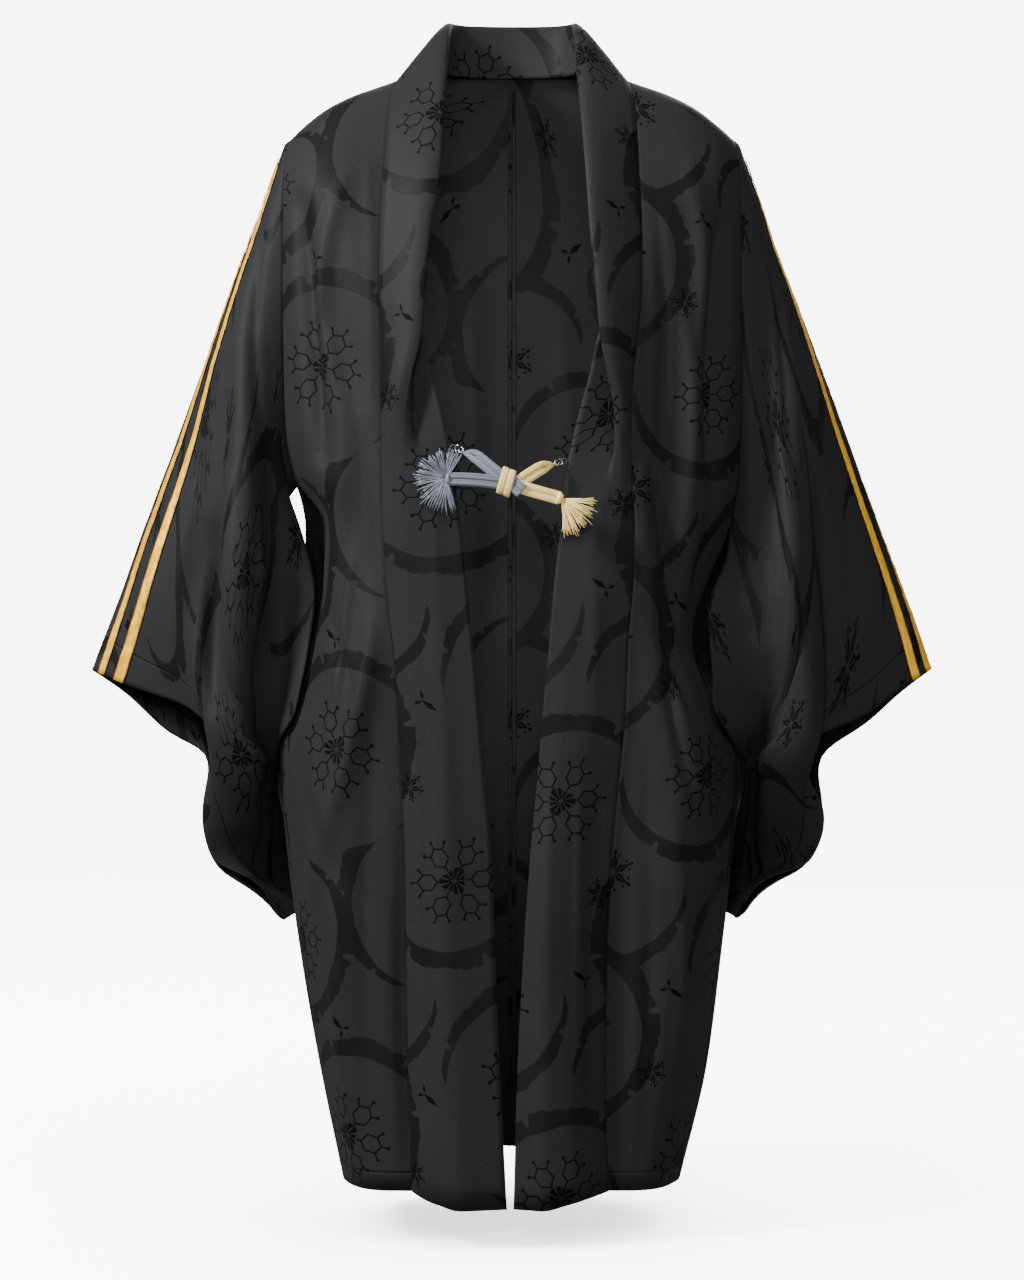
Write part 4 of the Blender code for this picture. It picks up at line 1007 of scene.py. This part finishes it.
def gold_material():
    made, tree, shader = principled("gold_ribbon", (0.62, 0.36, 0.06))
    uv, _, _ = cloth_place(tree)
    crinkle = texture_noise(tree, uv, 150.0, 4.0, (1.0, 0.7, 1))
    streak = texture_noise(tree, uv, 90.0, 3.0, (5.0, 0.30, 1))
    glint = (crinkle * 0.6 + streak * 0.5 - 0.30) * 2.0
    colour = mix_colour(tree, glint, (0.52, 0.200, 0.001), (1.0, 0.620, 0.014))
    edge = hem_distance(tree).within(0.0010, 0.0004)
    colour = mix_colour(tree, edge * 0.75, colour, (0.20, 0.070, 0.004))
    tree.links.new(colour, shader.inputs["Base Color"])
    shader.inputs["Metallic"].default_value = 0.40
    rough = crinkle * 0.25 + 0.26
    tree.links.new(rough.socket, shader.inputs["Roughness"])
    bump(tree, shader, crinkle + streak * 0.6, 0.6, 0.0009)
    return made


def braid_material(name, low, high):
    """A braid whose strands cross as chevrons between fine ridges, with painted shade: its colour darkens in the
    hollows between them.
    """
    made, tree, shader = principled(name, high)
    uv, across, along = cloth_place(tree)
    chevron = across.math("PINGPONG", 0.0011)
    strand = ((along + chevron * 0.9) * (2 * math.pi / 0.0011)).math("SINE") * 0.5 + 0.5
    ridge = ((across * (2 * math.pi / 0.0022)).math("COSINE")) * 0.5 + 0.5
    fuzz = texture_noise(tree, uv, 1600.0, 2.0)
    # Painted shade: the colour goes from high to low where the strands and ridges dip, as shade would fall in their
    # hollows.
    share = strand * 0.55 + ridge * 0.25 + fuzz * 0.4 - 0.15
    tree.links.new(mix_colour(tree, share, low, high), shader.inputs["Base Color"])
    shader.inputs["Roughness"].default_value = 0.62
    shader.inputs["Sheen Weight"].default_value = 0.15
    bump(tree, shader, strand + ridge * 0.8 + fuzz * 0.4, 0.7, 0.0004)
    return made


def thread_material(name, low, high):
    made, tree, shader = principled(name, high)
    place = tree.nodes.new("ShaderNodeTexCoord")
    fuzz = texture_noise(tree, place.outputs["Object"], 900.0, 2.0)
    shade = texture_noise(tree, place.outputs["Object"], 160.0, 2.0)
    colour = mix_colour(tree, (fuzz * 0.5 + shade * 0.7 - 0.2) * 1.5, low, high)
    tree.links.new(colour, shader.inputs["Base Color"])
    shader.inputs["Roughness"].default_value = 0.6
    bump(tree, shader, fuzz, 0.5, 0.0003)
    return made


def ring_material():
    made, tree, shader = principled("ring_metal", (0.6, 0.6, 0.6))
    place = tree.nodes.new("ShaderNodeTexCoord")
    worn = texture_noise(tree, place.outputs["Object"], 700.0, 2.0)
    colour = mix_colour(tree, worn, (0.50, 0.46, 0.38), (0.78, 0.76, 0.72))
    tree.links.new(colour, shader.inputs["Base Color"])
    shader.inputs["Metallic"].default_value = 1.0
    tree.links.new((worn * 0.15 + 0.18).socket, shader.inputs["Roughness"])
    return made


def plain_material(name, colour, roughness):
    made, _, shader = principled(name, colour)
    shader.inputs["Base Color"].default_value = (*colour, 1)
    shader.inputs["Roughness"].default_value = roughness
    shader.inputs["Specular IOR Level"].default_value = 0.1
    return made


SILK_DARK = (0.0098, 0.0100, 0.0106)
SILK_LIGHT = (0.0180, 0.0184, 0.0194)
BAND_DARK = (0.0032, 0.0032, 0.0034)
BAND_LIGHT = (0.0096, 0.0097, 0.0101)
LINE_COLOUR = (0.0004, 0.0004, 0.0005)
MATERIALS = {
    "silk": silk_material(),
    "gold_ribbon": gold_material(),
    # For each braid, the first colour is the painted shade in the hollows between its strands, and the second is the
    # braid's own colour.
    "grey_braid": braid_material("grey_braid", (0.035, 0.040, 0.052), (0.190, 0.205, 0.245)),
    "cream_braid": braid_material("cream_braid", (0.520, 0.340, 0.085), (1.000, 0.780, 0.310)),
    "grey_thread": thread_material("grey_thread", (0.040, 0.044, 0.055), (0.210, 0.225, 0.260)),
    "cream_thread": thread_material("cream_thread", (0.560, 0.370, 0.085), (1.000, 0.780, 0.300)),
    "ring_metal": ring_material(),
}


FLOOR_Z = -1.048
FLOOR_LIGHT = 26.0  # lights the floor alone
BACKDROP = 7.6


def mesh_piece(name, points, faces, look, uvs=None):
    name = name + "_piece"
    mesh = bpy.data.meshes.new(name)
    mesh.from_pydata(points, [], faces)
    if uvs is not None:
        layer = mesh.uv_layers.new(name="cloth")
        layer.data.foreach_set("uv", np.array(uvs, np.float32).ravel())
    mesh.shade_smooth()
    made = bpy.data.objects.new(name, mesh)
    bpy.context.scene.collection.objects.link(made)
    mesh.materials.append(MATERIALS[look])
    return made


def directions(line):
    ahead = np.gradient(line, axis=0)
    return ahead / np.linalg.norm(ahead, axis=1, keepdims=True)


def add_band(shape, line, wide, deep, widths, depths, power, sides):
    """Add a squarish oval, as a flat braid has, that runs along a line with these half widths and half depths."""
    points, faces, uvs = shape
    along = np.concatenate(([0.0], np.cumsum(np.linalg.norm(np.diff(line, axis=0), axis=1))))
    first = len(points)
    for i, centre in enumerate(line):
        for j in range(sides):
            turn = 2 * math.pi * j / sides
            c, s = math.cos(turn), math.sin(turn)
            a = math.copysign(abs(c) ** power, c) * widths[i]
            b = math.copysign(abs(s) ** power, s) * depths[i]
            points.append(tuple(centre + wide[i] * a + deep[i] * b))
    for i in range(len(line) - 1):
        here, there = first + i * sides, first + (i + 1) * sides
        for j in range(sides):
            k = (j + 1) % sides
            faces.append((here + j, here + k, there + k, there + j))
            for r, s in ((i, j), (i, j + 1), (i + 1, j + 1), (i + 1, j)):
                uvs.append((widths[r] * 4 * s / sides, along[r]))
    return first


def tube(name, lines, sizes, look, sides=12):
    """One mesh of several tubes. Each line is a list of points, each size the (half width, half depth) at its ends
    and middle, with its width across the line as seen from the front."""
    points, faces, uvs = shape = [], [], []
    for line, size in zip(lines, sizes):
        line = np.asarray(line, float)
        ahead = directions(line)
        wide = np.cross(ahead, (0, -1, 0))
        wide /= np.maximum(np.linalg.norm(wide, axis=1, keepdims=True), 1e-9)
        share = np.linspace(0, 1, len(line))
        at = np.linspace(0, 1, len(size))
        widths = np.interp(share, at, [s[0] for s in size])
        depths = np.interp(share, at, [s[1] for s in size])
        first = add_band(shape, line, wide, np.cross(ahead, wide), widths, depths, 0.75, sides)
        last = first + (len(line) - 1) * sides
        faces.append(tuple(range(first + sides - 1, first - 1, -1)))
        faces.append(tuple(range(last, last + sides)))
        uvs += [(0.0, 0.0)] * (2 * sides)
    return mesh_piece(name, points, faces, look, uvs)


def wire(name, points, radius, look, closed=False):
    name = name + "_piece"
    data = bpy.data.curves.new(name, "CURVE")
    data.dimensions = "3D"
    data.bevel_depth = radius
    data.bevel_resolution = 2
    data.use_fill_caps = True
    line = data.splines.new("POLY")
    line.points.add(len(points) - 1)
    for spot, place in zip(line.points, points):
        spot.co = (*place, 1)
    line.use_cyclic_u = closed
    made = bpy.data.objects.new(name, data)
    bpy.context.scene.collection.objects.link(made)
    data.materials.append(MATERIALS[look])
    return made


def side_by_side(points, apart, count=28, close_start=True):
    """Two lines beside the given one, meeting it at its start."""
    line = np.array(curve_through(points, np.linspace(0, 1, count)))
    wide = np.cross(directions(line), (0, -1, 0))
    wide /= np.linalg.norm(wide, axis=1, keepdims=True)
    share = np.linspace(0, 1, count)
    spread = np.clip(share / 0.22, 0, 1) ** 0.6 if close_start else np.ones(count)
    return [line + wide * (apart * sign * spread)[:, None] for sign in (-1, 1)]


def placed(piece, slot, *nodes):
    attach(piece, "root")
    if nodes:
        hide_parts(*nodes)
    return piece


def fringe(name, head, aim, spread, length, count, look, layers=3, seed=1):
    """A tassel's strands: three-sided, fanning out of the head in layers, each a little curved."""
    rng = random.Random(seed)
    points, faces = [], []
    for n in range(count):
        share = (n + 0.5) / count
        turn = math.radians(aim - spread / 2 + spread * share) + rng.uniform(-0.05, 0.05)
        layer = n % layers
        reach = length * (0.90 + 0.14 * rng.random()) * (1 - 0.05 * layer)
        if rng.random() < 0.05:
            reach *= 1.10
        lean = rng.uniform(-0.14, 0.14)
        depth = (layer - (layers - 1) / 2) * 0.0022
        first = len(points)
        steps = 6
        for i in range(steps):
            t = i / (steps - 1)
            angle = turn + lean * t * t
            x = head[0] + math.cos(angle) * reach * t
            z = head[2] + math.sin(angle) * reach * t - 0.0016 * t * t
            y = head[1] + depth * math.sin(t * 2.4) + 0.0016 * math.sin(6 * share + 3 * t) * t
            radius = 0.00050 * (1.0 - 0.25 * t)
            wide = np.array((-math.sin(angle), 0, math.cos(angle)))
            for j in range(3):
                corner = 2 * math.pi * j / 3 + 0.5
                aside = wide * math.cos(corner) + np.array((0, -1, 0)) * math.sin(corner)
                points.append(tuple(np.array((x, y, z)) + aside * radius))
        for i in range(steps - 1):
            for j in range(3):
                k = (j + 1) % 3
                here, there = first + 3 * i, first + 3 * i + 3
                faces.append((here + j, here + k, there + k, there + j))
        faces.append((first, first + 2, first + 1))
        last = first + 3 * (steps - 1)
        faces.append((last, last + 1, last + 2))
    return mesh_piece(name, points, faces, look)


def make_cloth():
    for side, name in ((-1, "right"), (1, "left")):
        body = fine_body(side)
        size, area = cut_of(body)

        def body_hem(grid, along):
            total = along[-1]
            from_end = np.minimum(along, total - along)
            return np.repeat(from_end[:, None], grid.shape[1], axis=1)

        body = tucked(body, normals_of(body) * side)
        cloth_piece("body_" + name, body, ["body_" + name], hem=body_hem, flip=side,
                    shift=(0.075 + 0.07 * side, 0.10 - 0.075 * side))
        gusset = fine_gusset(side)
        size, area = cut_of(gusset)
        outward = normals_of(gusset)
        outward = outward * np.sign(outward[..., 0].mean() * side)
        gusset = tucked(tucked(gusset, outward), np.pad(outward, ((0, 0), (2, 0), (0, 0)), mode="edge"), at_end=True)
        cloth_piece("gusset_" + name, gusset, ["gusset_" + name], shift=(0.3, 0.1 * side),
                    hem=lambda grid, along: np.repeat(along[:, None], grid.shape[1], axis=1))
        sleeve = fine_sleeve(side)
        size, area = cut_of(sleeve, around=True)
        sewn = np.clip((sleeve[0, :, 2] - UNDERARM_Z[side]) / 0.01 + 1, 0, 1)
        allowance = tucked(sleeve.transpose(1, 0, 2), outward_round(sleeve).transpose(1, 0, 2), share=sewn)
        with_allowance = allowance.transpose(1, 0, 2)

        def cuff_hem(grid, along):
            total = along[-1]
            return np.repeat((total - along)[:, None], grid.shape[1], axis=1) - 0.0085

        for row in RIBBONS:
            if row[0] == side:
                node = "ribbon_" + name + "_" + row[1]
                grid = fine_ribbon(sleeve, row)
                half = row[5] / 2
                place = np.linspace(0, row[5], grid.shape[1])
                edge = half - np.abs(place - half)
                cloth_piece(node, grid, [node], thickness=RIBBON, look="gold_ribbon",
                                hem=lambda g, along, e=edge: np.repeat(e[None, :], g.shape[0], axis=0))
        cloth_piece("sleeve_" + name, with_allowance, ["sleeve_" + name], around=True, hem=cuff_hem,
                    flip=side,
                    shift=(0.05 - 0.12 * side, 0.02 + 0.06 * side))
    collar = fine_collar()
    size, area = cut_of(collar)
    cloth_piece("collar", collar, ["collar"], shift=(0.18, 0.11))


def fine_ribbon(sleeve, row):
    """A ribbon on the front of the finished sleeve, crinkled a little along its length."""
    _, _, at_top, at_middle, at_cuff, width = row
    outward = outward_round(sleeve)
    out = CLOTH / 2 + RIBBON / 2 + 0.0004
    steps = len(sleeve)
    rows = []
    for i in range(3, steps):
        place = i / (steps - 1)
        centre = float(np.interp(place, (0, 0.5, 1), (at_top, at_middle, at_cuff)))
        offsets = centre + width * np.linspace(-0.5, 0.5, 9)
        rows.append([point_around(sleeve[i], outward[i], offset, out, 40) for offset in offsets])
    grid = np.array(rows)
    lift = np.zeros(grid.shape[:2])
    for i, line in enumerate(grid):
        for j, (x, y, z) in enumerate(line):
            lift[i, j] = 0.0005 * noise.noise(Vector((x * 60, y * 60, z * 160))) + 0.0002
    normal = normals_of(grid)
    if normal[..., 1].mean() > 0:
        normal = -normal
    return grid + normal * lift[..., None]


def make_tie():
    """The loops on the collar, the S-shaped hooks, the braids, the knot and the tassels."""
    knot = np.array(KNOT)
    for side, name, edge_x, z in ((-1, "right", 0.0557, -0.345), (1, "left", 0.0500, -0.357)):
        centre = (side * (edge_x - 0.0041), -0.1217, z)
        ring = ring_points(centre, 0.0024, (1, 0, 0), (0, 0, 1), 18)
        placed(wire("chi_loop_" + name, ring, 0.0007, "silk_thread", True), "silk", "chi_loop_" + name)
    for name, side, centre, lower in (
        ("s_ring_right", 1, (-0.0482, -0.1250, -0.3455), (-0.0446, -0.1280, -0.3475)),
        ("s_ring_left", -1, (0.0425, -0.1250, -0.3575), (0.0392, -0.1280, -0.3588)),
    ):
        upper = ring_points(centre, 0.0026, (0.8 * side, -0.6, 0), (0, -0.2, 0.98), 14)
        under = ring_points(lower, 0.0024, (-0.8 * side, 0.6, 0), (0, -0.2, -0.98), 14)
        placed(wire(name, upper[2:] + under[:-2], 0.00055, "ring_metal"), "ring_metal", name)
    neck = {
        "himo_grey": [(-0.0440, -0.1285, -0.3487), (-0.0408, -0.1312, -0.3505), (-0.0375, -0.1335, -0.3520)],
        "himo_cream": [(0.0386, -0.1285, -0.3598), (0.0350, -0.1312, -0.3606), (0.0318, -0.1335, -0.3616)],
    }
    for name, look, end in (
        ("himo_grey", "grey_braid", (-0.0085, -0.1475, -0.3725)),
        ("himo_cream", "cream_braid", (0.0030, -0.1490, -0.3790)),
    ):
        strands = side_by_side([neck[name][1], *BRAIDS[name], end], 0.0029)
        strands = [strand - np.array((0, 0.0008 * k, 0)) for k, strand in enumerate(strands)]
        size = [(0.0017, 0.0014), (0.0031, 0.0021), (0.0031, 0.0021), (0.0030, 0.0021)]
        thin = [(0.0009, 0.0009), (0.0013, 0.0012), (0.0019, 0.0016)]
        neck_line = np.array(curve_through(neck[name], np.linspace(0, 1, 12)))
        piece = tube(name, [*strands, neck_line], [size, size, thin], look)
        placed(piece, look, name)
    tails = {
        "himo_grey_tail": (
            "grey_braid", [(-0.0100, -0.1500, -0.3775), (-0.0300, -0.1515, -0.3752), (-0.0560, -0.1520, -0.3742)]
        ),
        "himo_cream_tail": (
            "cream_braid", [(0.0035, -0.1515, -0.3800), (0.0200, -0.1510, -0.3850), (0.0405, -0.1485, -0.3905)]
        ),
    }
    for name, (look, points) in tails.items():
        pair = side_by_side(points, 0.0028, 30, False)
        size = [(0.0031, 0.0019)] * 2
        piece = tube(name, pair, [size, size], look)
        placed(piece, look, name)
    make_knot(knot)
    grey_head, cream_head = (-0.0570, -0.1525, -0.3742), (0.0432, -0.1485, -0.3915)
    tassel = fringe("tassel_grey", grey_head, 176, 236, 0.0275, 150, "grey_thread", seed=3)
    placed(tassel, "grey_braid", "tassel_grey")
    bound = [(-0.0545, -0.1522, -0.3743), (-0.0560, -0.1522, -0.3742), (-0.0580, -0.1524, -0.3741)]
    size = [(0.0050, 0.0028), (0.0048, 0.0030), (0.0030, 0.0022)]
    bind = tube("tassel_grey_head", [bound], [size], "grey_thread")
    placed(bind, "grey_braid")
    tassel = fringe("tassel_cream", cream_head, -42, 92, 0.0300, 95, "cream_thread", seed=5)
    placed(tassel, "cream_braid", "tassel_cream")
    bound = [(0.0392, -0.1485, -0.3902), (0.0410, -0.1485, -0.3907), (0.0440, -0.1485, -0.3918)]
    size = [(0.0054, 0.0032), (0.0058, 0.0036), (0.0036, 0.0028)]
    bind = tube("tassel_cream_head", [bound], [size], "cream_thread")
    placed(bind, "cream_braid")


def make_knot(knot):
    """The cream braid wrapped round the crossing, and the grey end that leaves it below."""
    axis = np.array((math.cos(math.radians(-22)), 0.0, math.sin(math.radians(-22))))
    across = np.array((-axis[2], 0.0, axis[0]))
    turns = np.arange(40) * 2 * math.pi / 39
    lines = []
    for shift in (-0.0031, 0.0031):
        ring = [
            knot + axis * (shift - 0.0012 * math.cos(turn)) + across * 0.0108 * math.cos(turn)
            + np.array((0, -1, 0)) * 0.0066 * math.sin(turn)
            for turn in turns
        ]
        lines.append(ring)
    piece = band_ring("himo_knot", lines, axis, 0.0032, 0.0015, "cream_braid")
    placed(piece, "cream_braid", "himo_knot")
    end = [(-0.0010, -0.1495, -0.3760), (0.0040, -0.1530, -0.3810), (0.0086, -0.1545, -0.3850)]
    size = [(0.0031, 0.0018), (0.0033, 0.0018), (0.0036, 0.0012)]
    rest = tube("himo_grey_end", side_by_side(end, 0.0030, 16, False), [size, size], "grey_braid")
    placed(rest, "grey_braid")


def band_ring(name, rings, axis, half_width, half_depth, look):
    """Flat bands that run round an axis: each keeps its width along the axis."""
    points, faces, uvs = shape = [], [], []
    for ring in rings:
        line = np.array(ring)
        count = len(line)
        out = np.cross(directions(line), axis)
        out /= np.linalg.norm(out, axis=1, keepdims=True)
        add_band(shape, line, [axis] * count, out, [half_width] * count, [half_depth] * count, 0.7, 12)
    return mesh_piece(name, points, faces, look, uvs)


def area_light(name, place, target, size, power, colour=(1, 1, 1)):
    data = bpy.data.lights.new(name, "AREA")
    data.shape = "RECTANGLE"
    data.size, data.size_y = size
    data.energy = power
    data.color = colour
    light = bpy.data.objects.new(name, data)
    light.location = place
    light.rotation_euler = (Vector(target) - Vector(place)).to_track_quat("-Z", "Y").to_euler()
    light.visible_camera = False
    bpy.context.scene.collection.objects.link(light)


def make_studio():
    """A plain pale floor and backdrop, and soft lights."""
    builder = bmesh.new()
    bmesh.ops.create_circle(builder, cap_ends=True, segments=64, radius=60)
    mesh = bpy.data.meshes.new("floor")
    builder.to_mesh(mesh)
    builder.free()
    floor = bpy.data.objects.new("floor", mesh)
    floor.location = (0, 0, FLOOR_Z)
    floor.visible_diffuse = False
    floor.visible_glossy = False
    mesh.materials.append(plain_material("floor", (0.93, 0.93, 0.93), 0.9))
    bpy.context.scene.collection.objects.link(floor)
    lit = bpy.data.collections.new("floor_only")
    lit.objects.link(floor)
    for name, share in (("floor_light", 0.45), ("floor_glow", 0.55)):
        sun = bpy.data.objects.new(name, bpy.data.lights.new(name, "SUN"))
        sun.data.energy = FLOOR_LIGHT * share
        sun.data.angle = math.radians(100)
        sun.data.use_shadow = name == "floor_light"
        sun.rotation_euler = (math.radians(12), 0, 0)
        bpy.context.scene.collection.objects.link(sun)
        sun.light_linking.receiver_collection = lit
    world = bpy.data.worlds.new("studio")
    world.use_nodes = True
    tree = world.node_tree
    soft = tree.nodes["Background"]
    soft.inputs["Color"].default_value = (0.95, 0.955, 0.965, 1)
    soft.inputs["Strength"].default_value = 0.24
    backdrop = tree.nodes.new("ShaderNodeBackground")
    backdrop.inputs["Color"].default_value = (0.985, 0.985, 0.99, 1)
    backdrop.inputs["Strength"].default_value = BACKDROP
    seen = tree.nodes.new("ShaderNodeLightPath")
    mix = tree.nodes.new("ShaderNodeMixShader")
    tree.links.new(seen.outputs["Is Camera Ray"], mix.inputs["Fac"])
    tree.links.new(soft.outputs[0], mix.inputs[1])
    tree.links.new(backdrop.outputs[0], mix.inputs[2])
    tree.links.new(mix.outputs[0], tree.nodes["World Output"].inputs["Surface"])
    bpy.context.scene.world = world
    middle = (0, 0, -0.45)
    area_light("key", (-2.6, -1.5, 1.5), middle, (0.6, 0.8), 322.5)
    area_light("front", (-0.2, -3.6, 0.3), middle, (0.9, 0.9), 90)
    area_light("fill", (2.2, -1.8, 0.4), middle, (1.2, 1.8), 24)
    area_light("top", (-0.3, -0.2, 2.4), middle, (1.6, 1.2), 24)
    area_light("back", (0.4, 2.6, 0.9), middle, (2.2, 2.0), 67.5)
    area_light("inside", (0.0, -0.112, -0.36), (0.01, 0.1, -0.36), (0.08, 0.60), 0.9)


def make_camera():
    data = bpy.data.cameras.new("camera")
    data.lens = 79.7
    data.sensor_width = 36
    camera = bpy.data.objects.new("camera", data)
    camera.location = (0, -2.612, -0.514)
    camera.rotation_euler = (math.pi / 2, 0, 0)
    bpy.context.scene.collection.objects.link(camera)
    bpy.context.scene.camera = camera


make_camera()
MATERIALS["silk_thread"] = thread_material("silk_thread", (0.008, 0.008, 0.009), (0.03, 0.03, 0.032))
make_cloth()
make_tie()
make_studio()
